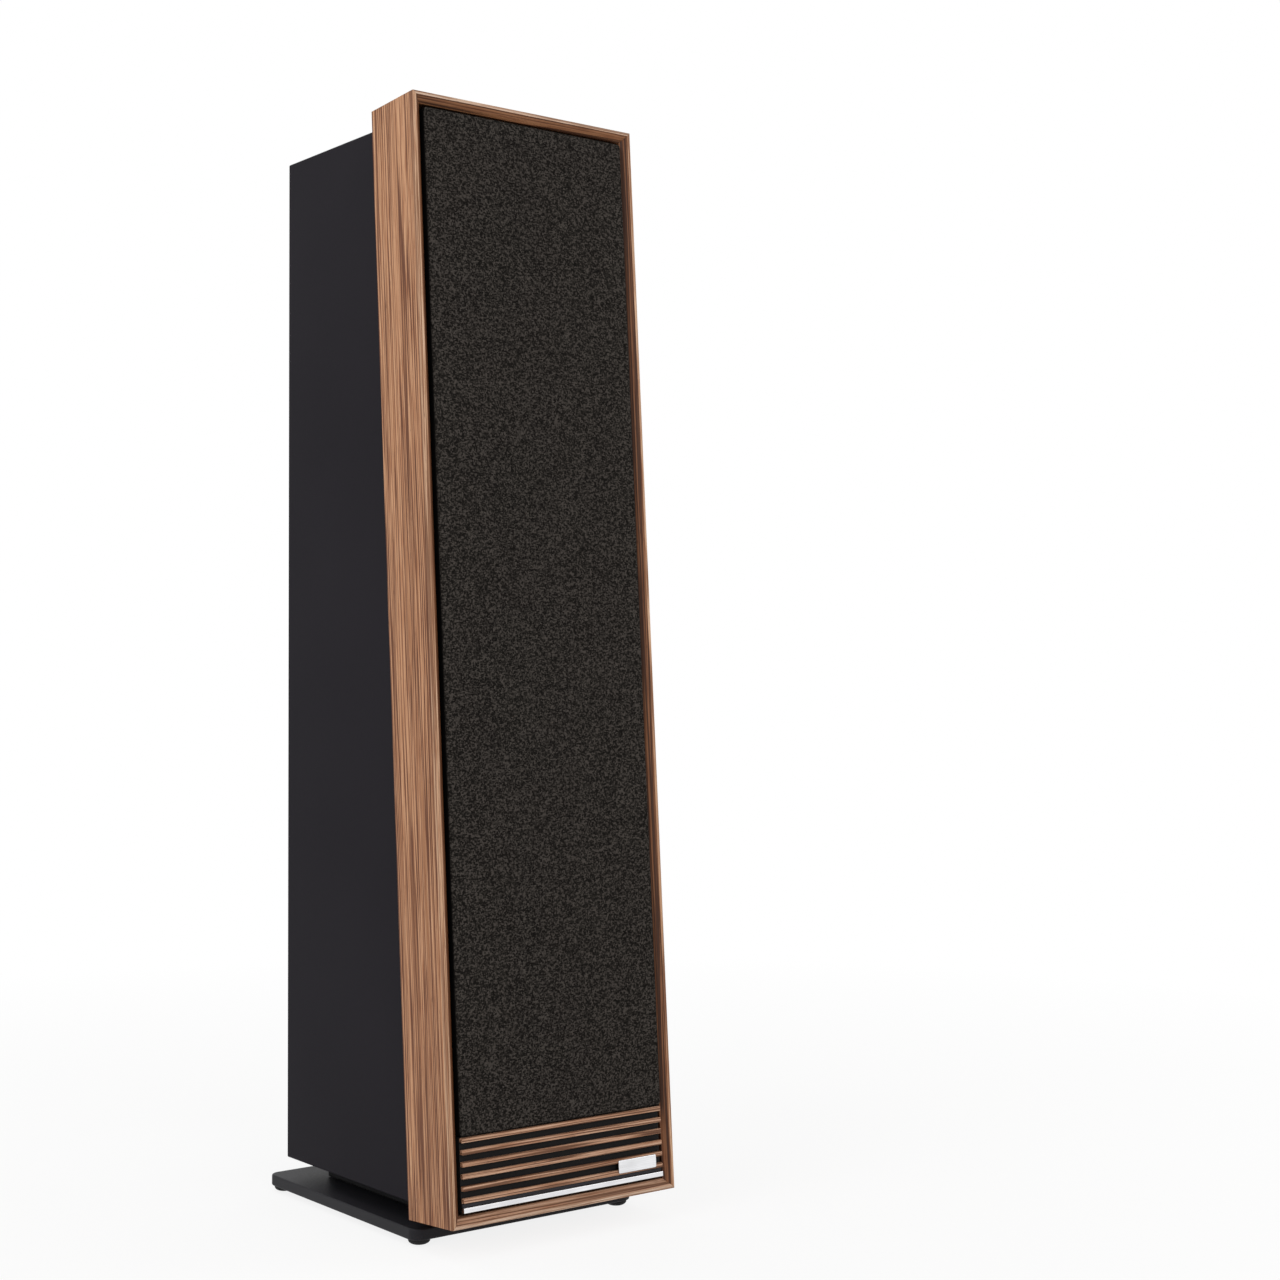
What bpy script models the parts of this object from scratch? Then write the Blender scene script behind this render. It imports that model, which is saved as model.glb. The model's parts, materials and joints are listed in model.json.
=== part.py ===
"""Floorstanding loudspeaker: a slim cabinet behind a leaning front framed in walnut.

Lengths are metres, +Z is up and the front faces -Y. The origin lies on the floor, at the
middle of the width and of the whole depth.
"""
import math

import bmesh
import bpy
from mathutils import Matrix, Vector

PARTS = "floorstanding_speaker"
CUTTERS = "cutters"

# Clearances
SEAT_GAP = 0.0003
MITRE_GAP = 0.0002
FIT_GAP = 0.0004
CUT_MARGIN = 0.002

# Facets and shading of rounded shapes
SMOOTH_ANGLE = math.radians(35)
ROUND_SEGMENTS = 4
CORNER_SEGMENTS = 4

# Walnut surround, measured square to the leaning front
FRONT_TILT = math.radians(3.784)
SURROUND_WIDTH = 0.2204
SURROUND_HEIGHT = 0.9018
SURROUND_DEPTH = 0.065
LIP_THICKNESS = 0.0085
LIP_FLAT = 0.0028
LIP_BEVEL_DEPTH = 0.0055
ARRIS = 0.0005
SURROUND_BACK_THICKNESS = 0.015

# Cabinet, stepped in from the rear edge of the surround
SIDE_STEP = 0.009
TOP_STEP = 0.0122
BOTTOM_STEP = 0.0098
CABINET_REAR_SETBACK = 0.2815
PANEL_THICKNESS = 0.015
BRACE_THICKNESS = 0.012
BRACE_HEIGHT = 0.380
BRACE_BORDER = 0.020
BRACE_DEPTH = 0.150

# Base plate, riser and feet
BASE_WIDTH = 0.2204
BASE_FRONT_SETBACK = 0.0555
BASE_DEPTH = 0.2445
BASE_THICKNESS = 0.0095
BASE_CORNER_RADIUS = 0.010
BASE_EDGE_ROUND = 0.0012
RISER_SIDE_INSET = 0.027
RISER_REAR_INSET = 0.025
RISER_FRONT_INSET = 0.025
RISER_HEIGHT = 0.0158
FOOT_RADIUS = 0.009
FOOT_FLAT_RADIUS = 0.0035
FOOT_HEIGHT = 0.0045
FOOT_INSET = 0.011

# Front baffle
BAFFLE_RECESS = 0.0205
BAFFLE_THICKNESS = 0.018

# Grille panel, which floats inside the lip of the surround
GRILLE_RECESS = 0.0004
GRILLE_SIDE_GAP = 0.0014
GRILLE_END_GAP = 0.0027
CLOTH_THICKNESS = 0.001
CLOTH_WRAP = 0.0135
RAIL_WIDTH = 0.016
SLAT_COUNT = 6
SLAT_HEIGHT = 0.0038
SLAT_PITCH = 0.0093
SLAT_DEPTH = 0.004
SLAT_ARRIS = 0.0004
SLAT_END_INSET = 0.0013
STRIP_HEIGHT = 0.004
STRIP_MARGIN = 0.0002
STRIP_TO_SLAT = 0.0034
SLAT_TO_CLOTH = 0.0005
BADGE_WIDTH = 0.039
BADGE_HEIGHT = 0.0105
BADGE_THICKNESS = 0.0012
BADGE_CORNER_RADIUS = 0.001
BADGE_SIDE_MARGIN = 0.008

# Driver places, down the slope from the top of the surround
TWEETER_FROM_TOP = 0.085
TWEETER_TO_WOOFER = 0.135
WOOFER_SPACING = 0.165

# Woofers
WOOFER_CONE_RADIUS = 0.051
ROLL_WIDTH = 0.010
ROLL_THICKNESS = 0.001
ROLL_LANDING = 0.0045
ROLL_SEGMENTS = 6
BASKET_WALL = 0.003
BASKET_TOP_WALL = 0.004
BASKET_DEPTH = 0.056
BASKET_REAR_RADIUS = 0.044
BASKET_REAR_HOLE_RADIUS = 0.030
BASKET_WINDOW_COUNT = 6
BASKET_WINDOW_WIDTH = 0.028
BASKET_WINDOW_TOP = 0.016
BASKET_WINDOW_BOTTOM = 0.036
BASKET_TAB_LENGTH = 0.010
BASKET_TAB_WIDTH = 0.008
FLANGE_LAND = 0.0125
FLANGE_THICKNESS = 0.0045
CONE_THICKNESS = 0.0012
CONE_DEPTH = 0.028
CONE_FLARE = 0.85
CONE_SEGMENTS = 4
COIL_RADIUS = 0.0146
COIL_WALL = 0.0014
COIL_LENGTH = 0.042
COIL_POLE_GAP = 0.0008
COIL_PLATE_GAP = 0.0014
CAP_RADIUS = 0.022
CAP_RISE = 0.009
CAP_THICKNESS = 0.001
SPIDER_DEPTH = 0.042
SPIDER_THICKNESS = 0.0008
SPIDER_WAVE = 0.0016
SPIDER_WAVES = 3
SPIDER_SEGMENTS = 9
MAGNET_RADIUS = 0.042
MAGNET_HEIGHT = 0.016
MOTOR_PLATE_RADIUS = 0.038
MOTOR_PLATE_THICKNESS = 0.006
WOOFER_STEPS = 28

# Tweeter
TWEETER_DOME_RADIUS = 0.013
TWEETER_DOME_RISE = 0.005
TWEETER_ROLL_WIDTH = 0.0035
TWEETER_ROLL_RISE = 0.0012
TWEETER_DOME_THICKNESS = 0.0007
TWEETER_DOME_RECESS = 0.004
TWEETER_FACE_LAND = 0.035
TWEETER_FACE_THICKNESS = 0.004
TWEETER_WAVEGUIDE_FLARE = 0.009
TWEETER_REBATE_LAND = 0.010
TWEETER_MOTOR_RADIUS = 0.036
TWEETER_MOTOR_HEIGHT = 0.028
TWEETER_TRAVEL_ROOM = 0.0009
TWEETER_STEPS = 28

# Reflex port in the rear panel
PORT_HEIGHT = 0.300
PORT_BORE_RADIUS = 0.027
PORT_WALL = 0.0025
PORT_MOUTH_RADIUS = 0.036
PORT_MOUTH_WALL = 0.0025
PORT_FLANGE_LAND = 0.0075
PORT_FLANGE_THICKNESS = 0.003
PORT_FLARE_LENGTH = 0.022
PORT_LENGTH = 0.130
PORT_STEPS = 28

# Terminals in the rear panel
TERMINAL_HEIGHT = 0.150
TERMINAL_WIDTH = 0.090
TERMINAL_TALL = 0.060
TERMINAL_THICKNESS = 0.0025
TERMINAL_LAND = 0.010
TERMINAL_CORNER_RADIUS = 0.004
POST_SPACING = 0.038
POST_RADIUS = 0.0026
POST_COLLAR_RADIUS = 0.0075
POST_COLLAR_THICKNESS = 0.002
POST_TAIL = 0.024
POST_STICK_OUT = 0.0125
WASHER_RADIUS = 0.007
WASHER_THICKNESS = 0.001
KNOB_RADIUS = 0.0068
KNOB_LENGTH = 0.0108
KNOB_FLUTES = 12
KNOB_FLUTE_DEPTH = 0.0006
KNOB_POINTS_PER_FLUTE = 4
TERMINAL_STEPS = 20

# Crossover board on the cabinet floor
BOARD_WIDTH = 0.130
BOARD_DEPTH = 0.100
BOARD_THICKNESS = 0.0016
BOARD_SETBACK = 0.155
BOARD_STANDOFF = 0.006
STANDOFF_RADIUS = 0.004
STANDOFF_INSET = 0.008
INDUCTOR_RADIUS = 0.017
INDUCTOR_HEIGHT = 0.022
INDUCTOR_SPACING = 0.065
INDUCTOR_FRONT_OFFSET = 0.020
CAPACITOR_RADIUS = 0.009
CAPACITOR_LENGTH = 0.034
CAPACITOR_REAR_OFFSET = 0.010
TERMINAL_BLOCK_SIZE = 0.012
BOARD_STEPS = 16

# Wires from the crossover board to the drivers
WIRE_RADIUS = 0.00125
WIRE_RUN_SETBACK = 0.200
TWEETER_WIRE_OFFSET = 0.033
WIRE_BEND = 0.030
WIRE_SAMPLES = 6

# Places that follow from the sizes above
FRONT_Y = -(BASE_FRONT_SETBACK + BASE_DEPTH) / 2
BASE_BOTTOM = FOOT_HEIGHT + SEAT_GAP
BASE_TOP = BASE_BOTTOM + BASE_THICKNESS
RISER_BOTTOM = BASE_TOP + SEAT_GAP
CABINET_BOTTOM = RISER_BOTTOM + RISER_HEIGHT + SEAT_GAP
SURROUND_BOTTOM = CABINET_BOTTOM - BOTTOM_STEP + SURROUND_DEPTH * math.sin(FRONT_TILT)
SURROUND_REAR_TOP = CABINET_BOTTOM - BOTTOM_STEP + SURROUND_HEIGHT * math.cos(FRONT_TILT)
CABINET_TOP = SURROUND_REAR_TOP - TOP_STEP
CABINET_HALF_WIDTH = SURROUND_WIDTH / 2 - SIDE_STEP
CABINET_REAR_Y = FRONT_Y + CABINET_REAR_SETBACK
INNER_HALF_WIDTH = CABINET_HALF_WIDTH - PANEL_THICKNESS
INNER_REAR_Y = CABINET_REAR_Y - PANEL_THICKNESS
INNER_BOTTOM = CABINET_BOTTOM + PANEL_THICKNESS

OPENING_HALF_WIDTH = SURROUND_WIDTH / 2 - LIP_THICKNESS
GRILLE_HALF_WIDTH = OPENING_HALF_WIDTH - GRILLE_SIDE_GAP
SLAT_HALF_WIDTH = GRILLE_HALF_WIDTH - SLAT_END_INSET
GRILLE_BOTTOM = LIP_THICKNESS + GRILLE_END_GAP
GRILLE_TOP = SURROUND_HEIGHT - GRILLE_BOTTOM
STRIP_BOTTOM = GRILLE_BOTTOM + STRIP_MARGIN
LOWEST_SLAT = STRIP_BOTTOM + STRIP_HEIGHT + STRIP_TO_SLAT + SLAT_HEIGHT / 2
HIGHEST_SLAT = LOWEST_SLAT + (SLAT_COUNT - 1) * SLAT_PITCH
CLOTH_BOTTOM = HIGHEST_SLAT + SLAT_HEIGHT / 2 + SLAT_TO_CLOTH
RAIL_FRONT = GRILLE_RECESS + CLOTH_THICKNESS + SEAT_GAP
RAIL_BACK = BAFFLE_RECESS - SEAT_GAP
RAIL_EDGE = GRILLE_HALF_WIDTH - CLOTH_THICKNESS - SEAT_GAP
BOARD_FRONT = GRILLE_RECESS + SLAT_DEPTH + SEAT_GAP

TWEETER_PLACE = SURROUND_HEIGHT - TWEETER_FROM_TOP
UPPER_WOOFER_PLACE = TWEETER_PLACE - TWEETER_TO_WOOFER
LOWER_WOOFER_PLACE = UPPER_WOOFER_PLACE - WOOFER_SPACING

ROLL_INNER_RADIUS = WOOFER_CONE_RADIUS + SEAT_GAP
ROLL_OUTER_RADIUS = ROLL_INNER_RADIUS + ROLL_WIDTH
BASKET_TOP_RADIUS = ROLL_OUTER_RADIUS + BASKET_TOP_WALL
WOOFER_CUTOUT_RADIUS = BASKET_TOP_RADIUS + FIT_GAP
WOOFER_FLANGE_RADIUS = WOOFER_CUTOUT_RADIUS + FLANGE_LAND
FLANGE_TOP = -SEAT_GAP
FLANGE_BOTTOM = FLANGE_TOP - FLANGE_THICKNESS
MOTOR_TOP = -BASKET_DEPTH - SEAT_GAP
NECK_RADIUS = COIL_RADIUS + SEAT_GAP

TWEETER_THROAT = TWEETER_DOME_RADIUS + TWEETER_ROLL_WIDTH + FIT_GAP
TWEETER_FACE_RADIUS = TWEETER_THROAT + TWEETER_FACE_LAND
TWEETER_FACE_BOTTOM = -SEAT_GAP - TWEETER_FACE_THICKNESS
TWEETER_DOME_BOTTOM = -TWEETER_DOME_RECESS - TWEETER_DOME_THICKNESS
TWEETER_MOTOR_TOP = min(TWEETER_FACE_BOTTOM - SEAT_GAP, TWEETER_DOME_BOTTOM - TWEETER_TRAVEL_ROOM)
TWEETER_CUTOUT_RADIUS = TWEETER_FACE_RADIUS - TWEETER_REBATE_LAND

PORT_COLLAR_RADIUS = PORT_MOUTH_RADIUS + PORT_MOUTH_WALL
TERMINAL_TOP = SEAT_GAP + TERMINAL_THICKNESS
COLLAR_TOP = TERMINAL_TOP + SEAT_GAP + POST_COLLAR_THICKNESS
WASHER_BOTTOM = COLLAR_TOP + SEAT_GAP
KNOB_BOTTOM = WASHER_BOTTOM + WASHER_THICKNESS + SEAT_GAP
POST_BORE = POST_RADIUS + FIT_GAP

BOARD_BOTTOM = INNER_BOTTOM + SEAT_GAP + BOARD_STANDOFF
BOARD_TOP = BOARD_BOTTOM + BOARD_THICKNESS
BOARD_Y = FRONT_Y + BOARD_SETBACK
TAB_REACH = BASKET_REAR_RADIUS + BASKET_TAB_LENGTH / 2


# Colours and materials
def srgb(code):
    """Turn a hex colour into linear red, green, blue and alpha."""
    channels = [int(code[i:i + 2], 16) / 255 for i in (0, 2, 4)]
    linear = [c / 12.92 if c <= 0.04045 else ((c + 0.055) / 1.055) ** 2.4 for c in channels]
    return (*linear, 1.0)


def principled(name, code, roughness, metallic=0.0):
    """Make a material of one colour, roughness and metallic value."""
    material = bpy.data.materials.new(name)
    material.use_nodes = True
    shader = material.node_tree.nodes["Principled BSDF"]
    shader.inputs["Base Color"].default_value = srgb(code)
    shader.inputs["Roughness"].default_value = roughness
    shader.inputs["Metallic"].default_value = metallic
    return material


def walnut():
    return principled("walnut_veneer", "9C7356", 0.5)


def charcoal_lacquer():
    return principled("charcoal_satin_lacquer", "2A282C", 0.42)


def black_board():
    return principled("black_stained_board", "121213", 0.7)


def black_powder_coat():
    return principled("black_powder_coated_steel", "262528", 0.5, 0.2)


def grille_fabric():
    return principled("charcoal_heather_cloth", "2F2E2F", 0.95)


def satin_aluminium():
    return principled("satin_aluminium", "D9DADC", 0.3, 1.0)


def black_rubber():
    return principled("black_rubber", "151515", 0.8)


def cast_basket():
    return principled("black_cast_aluminium", "1D1D1F", 0.5, 0.4)


def paper_cone():
    return principled("doped_paper", "232326", 0.75)


def silk_dome():
    return principled("coated_silk", "1B1B1D", 0.6)


def ferrite_motor():
    return principled("ferrite_and_steel", "3A3A3E", 0.45, 0.6)


def coil_former():
    return principled("copper_on_former", "A8673C", 0.4, 0.8)


def spider_cloth():
    return principled("resin_cotton", "B58A4E", 0.9)


def moulded_black():
    return principled("moulded_black_plastic", "18181A", 0.5)


def plated_brass():
    return principled("gold_plated_brass", "C9A24A", 0.25, 1.0)


def red_knob_plastic():
    return principled("red_moulded_plastic", "8E1B1B", 0.4)


def circuit_board():
    return principled("green_circuit_board", "2E5A3A", 0.5)


def wire_sleeve():
    return principled("black_wire_sleeve", "202020", 0.55)


# Building blocks
def clear_scene():
    """Remove every object and give the parts and the cutters a collection each."""
    for obj in list(bpy.data.objects):
        bpy.data.objects.remove(obj, do_unlink=True)
    for name in (PARTS, CUTTERS):
        group = bpy.data.collections.get(name)
        if group is None:
            group = bpy.data.collections.new(name)
            bpy.context.scene.collection.children.link(group)


def add_object(name, data, material, parent=None, location=(0, 0, 0), turn=(0, 0, 0)):
    """Put a mesh or curve into the parts collection under its node name."""
    obj = bpy.data.objects.new(name, data)
    obj.location = location
    obj.rotation_euler = turn
    obj.parent = parent
    if len(data.materials) == 0:
        data.materials.append(material)
    bpy.data.collections[PARTS].objects.link(obj)
    return obj


def add_empty(name, parent=None, location=(0, 0, 0), turn=(0, 0, 0)):
    """Put an axis into the parts collection, to carry the pieces that share it."""
    empty = bpy.data.objects.new(name, None)
    empty.location = location
    empty.rotation_euler = turn
    empty.parent = parent
    bpy.data.collections[PARTS].objects.link(empty)
    return empty


def boolean(obj, mesh, operation, parent=None, location=(0, 0, 0), turn=(0, 0, 0)):
    """Cut a shape out of an object, or join one to it, with a wire-drawn tool."""
    tool = bpy.data.objects.new(f"{obj.name}_tool", mesh)
    tool.location = location
    tool.rotation_euler = turn
    tool.parent = parent
    tool.hide_render = True
    tool.display_type = "WIRE"
    bpy.data.collections[CUTTERS].objects.link(tool)
    modifier = obj.modifiers.new(operation.lower(), "BOOLEAN")
    modifier.operation = operation
    modifier.solver = "EXACT"
    modifier.object = tool


def mesh_from(bm, name):
    """Close a bmesh into a mesh whose faces point outwards."""
    bm.normal_update()
    bmesh.ops.recalc_face_normals(bm, faces=bm.faces)
    mesh = bpy.data.meshes.new(name)
    bm.to_mesh(mesh)
    bm.free()
    return mesh


def add_box(bm, low, high):
    """Add a box between two corners to a bmesh."""
    cube = bmesh.ops.create_cube(bm, size=1.0)
    low = Vector(low)
    high = Vector(high)
    bmesh.ops.scale(bm, vec=high - low, verts=cube["verts"])
    bmesh.ops.translate(bm, vec=(low + high) / 2, verts=cube["verts"])
    return cube["verts"]


def box_mesh(name, low, high):
    bm = bmesh.new()
    add_box(bm, low, high)
    return mesh_from(bm, name)


def rounded_plate_mesh(name, low, high, axis, radius):
    """Make a box whose four edges along one axis are rounded."""
    bm = bmesh.new()
    add_box(bm, low, high)
    edges = [e for e in bm.edges if abs((e.verts[0].co - e.verts[1].co)[axis]) > radius / 10]
    bmesh.ops.bevel(bm, geom=edges, offset=radius, segments=CORNER_SEGMENTS, profile=0.5, affect="EDGES")
    return mesh_from(bm, name)


def panel_mesh(name, outer, inner):
    """Make a six-sided panel from the four corners of its outer and of its inner face."""
    bm = bmesh.new()
    cube = bmesh.ops.create_cube(bm, size=1.0)
    order = {(False, False): 0, (True, False): 1, (True, True): 2, (False, True): 3}
    for vert in cube["verts"]:
        corner = order[(vert.co.x > 0, vert.co.y > 0)]
        face = outer if vert.co.z > 0 else inner
        vert.co = face[corner]
    return mesh_from(bm, name)


def turned_mesh(name, profile, steps, closed=True):
    """Turn a profile of (radius, height) points about Z; it runs down its outer side."""
    line = bpy.data.meshes.new(f"{name}_profile")
    edges = [(i, i + 1) for i in range(len(profile) - 1)]
    if closed:
        edges.append((len(profile) - 1, 0))
    line.from_pydata([(r, 0.0, z) for r, z in profile], edges, [])
    lathe = bpy.data.objects.new(f"{name}_lathe", line)
    bpy.context.scene.collection.objects.link(lathe)
    screw = lathe.modifiers.new("turn", "SCREW")
    screw.axis = "Z"
    screw.angle = 2 * math.pi
    screw.steps = steps
    screw.render_steps = steps
    screw.use_merge_vertices = True
    screw.merge_threshold = 0.00001
    depsgraph = bpy.context.evaluated_depsgraph_get()
    mesh = bpy.data.meshes.new_from_object(lathe.evaluated_get(depsgraph))
    bpy.data.objects.remove(lathe, do_unlink=True)
    bpy.data.meshes.remove(line)
    mesh.name = name
    mesh.shade_smooth()
    mesh.set_sharp_from_angle(angle=SMOOTH_ANGLE)
    return mesh


def cylinder_mesh(name, radius, low, high, steps):
    return turned_mesh(name, [(0.0, high), (radius, high), (radius, low), (0.0, low)], steps, closed=False)


def bevel(obj, width, segments=1):
    """Ease the edges of an object."""
    modifier = obj.modifiers.new("eased_edges", "BEVEL")
    modifier.width = width
    modifier.segments = segments
    modifier.limit_method = "ANGLE"


def quarter_turn():
    """Give the angles of the points along a quarter circle."""
    return [math.pi / 2 * i / ROUND_SEGMENTS for i in range(ROUND_SEGMENTS + 1)]


def front_y(depth, height):
    """Give the world Y, at a height, of a plane lying at a depth behind the leaning front."""
    slope = (height - SURROUND_BOTTOM + depth * math.sin(FRONT_TILT)) / math.cos(FRONT_TILT)
    return FRONT_Y + depth * math.cos(FRONT_TILT) + slope * math.sin(FRONT_TILT)


# Base plate, riser and feet
def build_base():
    front = FRONT_Y + BASE_FRONT_SETBACK
    half = BASE_WIDTH / 2
    coat = black_powder_coat()
    mesh = rounded_plate_mesh("base_plate", (-half, front, BASE_BOTTOM), (half, front + BASE_DEPTH, BASE_TOP),
                              2, BASE_CORNER_RADIUS)
    plate = add_object("base_plate", mesh, coat)
    bevel(plate, BASE_EDGE_ROUND, 2)
    riser_half = CABINET_HALF_WIDTH - RISER_SIDE_INSET
    riser = box_mesh("riser", (-riser_half, front + RISER_FRONT_INSET, RISER_BOTTOM),
                     (riser_half, CABINET_REAR_Y - RISER_REAR_INSET, RISER_BOTTOM + RISER_HEIGHT))
    add_object("riser", riser, coat)
    build_feet(front)


def foot_profile():
    """Give the outline of a domed foot, from its top face down to its flat."""
    spread = FOOT_RADIUS - FOOT_FLAT_RADIUS
    curve = [(FOOT_FLAT_RADIUS + spread * math.cos(a), FOOT_HEIGHT * (1 - math.sin(a)))
             for a in quarter_turn()]
    return [(0.0, FOOT_HEIGHT), *curve, (0.0, 0.0)]


def build_feet(front):
    rubber = black_rubber()
    mesh = turned_mesh("foot", foot_profile(), TERMINAL_STEPS, closed=False)
    side = BASE_WIDTH / 2 - FOOT_INSET
    rows = {"front": front + FOOT_INSET, "rear": front + BASE_DEPTH - FOOT_INSET}
    for row, y in rows.items():
        add_object(f"foot_{row}_left", mesh, rubber, location=(-side, y, 0))
        add_object(f"foot_{row}_right", mesh, rubber, location=(side, y, 0))


# Cabinet panels, mitred where they meet
def build_cabinet_sides(lacquer):
    depth = SURROUND_DEPTH + SEAT_GAP
    for side, sign in (("left", -1), ("right", 1)):
        faces = []
        for inset in (0.0, PANEL_THICKNESS):
            x = sign * (CABINET_HALF_WIDTH - inset)
            low = CABINET_BOTTOM + inset + MITRE_GAP
            high = CABINET_TOP - inset - MITRE_GAP
            rear = CABINET_REAR_Y - inset - MITRE_GAP
            faces.append([(x, front_y(depth, low), low), (x, rear, low),
                          (x, rear, high), (x, front_y(depth, high), high)])
        name = f"cabinet_{side}_side"
        add_object(name, panel_mesh(name, *faces), lacquer)


def build_cabinet_ends(lacquer):
    depth = SURROUND_DEPTH + SEAT_GAP
    for end, edge, sign in (("top", CABINET_TOP, -1), ("bottom", CABINET_BOTTOM, 1)):
        faces = []
        for inset in (0.0, PANEL_THICKNESS):
            z = edge + sign * inset
            half = CABINET_HALF_WIDTH - inset - MITRE_GAP
            rear = CABINET_REAR_Y - inset - MITRE_GAP
            front = front_y(depth, z)
            faces.append([(-half, front, z), (half, front, z), (half, rear, z), (-half, rear, z)])
        name = f"cabinet_{end}"
        add_object(name, panel_mesh(name, *faces), lacquer)


def build_cabinet_rear(lacquer):
    faces = []
    for inset in (0.0, PANEL_THICKNESS):
        half = CABINET_HALF_WIDTH - inset - MITRE_GAP
        low = CABINET_BOTTOM + inset + MITRE_GAP
        high = CABINET_TOP - inset - MITRE_GAP
        y = CABINET_REAR_Y - inset
        faces.append([(-half, y, low), (half, y, low), (half, y, high), (-half, y, high)])
    rear = add_object("cabinet_rear", panel_mesh("cabinet_rear", *faces), lacquer)
    reach = PANEL_THICKNESS + CUT_MARGIN
    hole = cylinder_mesh("port_hole", PORT_COLLAR_RADIUS + FIT_GAP, -reach, CUT_MARGIN, PORT_STEPS)
    boolean(rear, hole, "DIFFERENCE", location=(0, CABINET_REAR_Y, PORT_HEIGHT), turn=(-math.pi / 2, 0, 0))
    half_wide = TERMINAL_WIDTH / 2 - TERMINAL_LAND
    half_tall = TERMINAL_TALL / 2 - TERMINAL_LAND
    window = box_mesh("terminal_window",
                      (-half_wide, INNER_REAR_Y - CUT_MARGIN, TERMINAL_HEIGHT - half_tall),
                      (half_wide, CABINET_REAR_Y + CUT_MARGIN, TERMINAL_HEIGHT + half_tall))
    boolean(rear, window, "DIFFERENCE")


def build_brace(board):
    """Add the shelf that ties both sides to the rear panel, with a window through it."""
    half = INNER_HALF_WIDTH - SEAT_GAP
    rear = INNER_REAR_Y - SEAT_GAP
    front = rear - BRACE_DEPTH
    top = BRACE_HEIGHT + BRACE_THICKNESS
    shelf = box_mesh("cabinet_brace", (-half, front, BRACE_HEIGHT), (half, rear, top))
    brace = add_object("cabinet_brace", shelf, board)
    window = box_mesh("brace_window", (-half + BRACE_BORDER, front + BRACE_BORDER, BRACE_HEIGHT - CUT_MARGIN),
                      (half - BRACE_BORDER, rear - BRACE_BORDER, top + CUT_MARGIN))
    boolean(brace, window, "DIFFERENCE")


def build_cabinet(board):
    lacquer = charcoal_lacquer()
    build_cabinet_sides(lacquer)
    build_cabinet_ends(lacquer)
    build_cabinet_rear(lacquer)
    build_brace(board)


# Walnut surround: four mitred members of one section
def surround_section():
    """Give the section as (inward, depth) points: bevelled lip, baffle rebate, thick back."""
    seat = BAFFLE_RECESS + BAFFLE_THICKNESS + SEAT_GAP
    return [(0.0, ARRIS), (ARRIS, 0.0), (LIP_FLAT, 0.0), (LIP_THICKNESS, LIP_BEVEL_DEPTH),
            (LIP_THICKNESS, seat), (SURROUND_BACK_THICKNESS, seat),
            (SURROUND_BACK_THICKNESS, SURROUND_DEPTH), (0.0, SURROUND_DEPTH)]


def surround_member_mesh(name, length):
    """Extrude the section along Z and cut both ends to the mitre by leaning them inwards."""
    bm = bmesh.new()
    start = [bm.verts.new((inward, depth, -length / 2)) for inward, depth in surround_section()]
    face = bm.faces.new(start)
    grown = bmesh.ops.extrude_face_region(bm, geom=[face])
    far = [item for item in grown["geom"] if isinstance(item, bmesh.types.BMVert)]
    bmesh.ops.translate(bm, vec=(0, 0, length), verts=far)
    for vert in bm.verts:
        lean = vert.co.x + MITRE_GAP
        vert.co.z -= math.copysign(lean, vert.co.z)
    return mesh_from(bm, name)


def build_surround(front):
    veneer = walnut()
    half_width = SURROUND_WIDTH / 2
    half_height = SURROUND_HEIGHT / 2
    quarter = math.pi / 2
    members = {
        "left": (SURROUND_HEIGHT, (-half_width, 0, half_height), 0),
        "right": (SURROUND_HEIGHT, (half_width, 0, half_height), 2 * quarter),
        "bottom": (SURROUND_WIDTH, (0, 0, 0), -quarter),
        "top": (SURROUND_WIDTH, (0, 0, SURROUND_HEIGHT), quarter),
    }
    for side, (length, place, turn) in members.items():
        name = f"surround_{side}"
        add_object(name, surround_member_mesh(name, length), veneer, front, place, (0, turn, 0))


# Front baffle with a stepped hole for each driver
def driver_hole_mesh(name, rim, rebate, bore, steps):
    """Make the tool that cuts a flange rebate and the bore behind it."""
    return turned_mesh(name, [(0.0, CUT_MARGIN), (rim, CUT_MARGIN), (rim, -rebate), (bore, -rebate),
                              (bore, -BAFFLE_THICKNESS - CUT_MARGIN), (0.0, -BAFFLE_THICKNESS - CUT_MARGIN)],
                       steps, closed=False)


def build_baffle(front, board):
    half = OPENING_HALF_WIDTH - FIT_GAP
    low = LIP_THICKNESS + FIT_GAP
    high = SURROUND_HEIGHT - low
    back = BAFFLE_RECESS + BAFFLE_THICKNESS
    mesh = box_mesh("front_baffle", (-half, BAFFLE_RECESS, low), (half, back, high))
    baffle = add_object("front_baffle", mesh, board, front)
    woofer = driver_hole_mesh("woofer_hole", WOOFER_FLANGE_RADIUS + FIT_GAP, FLANGE_THICKNESS + 2 * SEAT_GAP,
                              WOOFER_CUTOUT_RADIUS, WOOFER_STEPS)
    tweeter = driver_hole_mesh("tweeter_hole", TWEETER_FACE_RADIUS + FIT_GAP,
                               TWEETER_FACE_THICKNESS + 2 * SEAT_GAP, TWEETER_CUTOUT_RADIUS, TWEETER_STEPS)
    holes = ((woofer, UPPER_WOOFER_PLACE), (woofer, LOWER_WOOFER_PLACE), (tweeter, TWEETER_PLACE))
    for mesh, place in holes:
        boolean(baffle, mesh, "DIFFERENCE", front, (0, BAFFLE_RECESS, place), (math.pi / 2, 0, 0))


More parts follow.
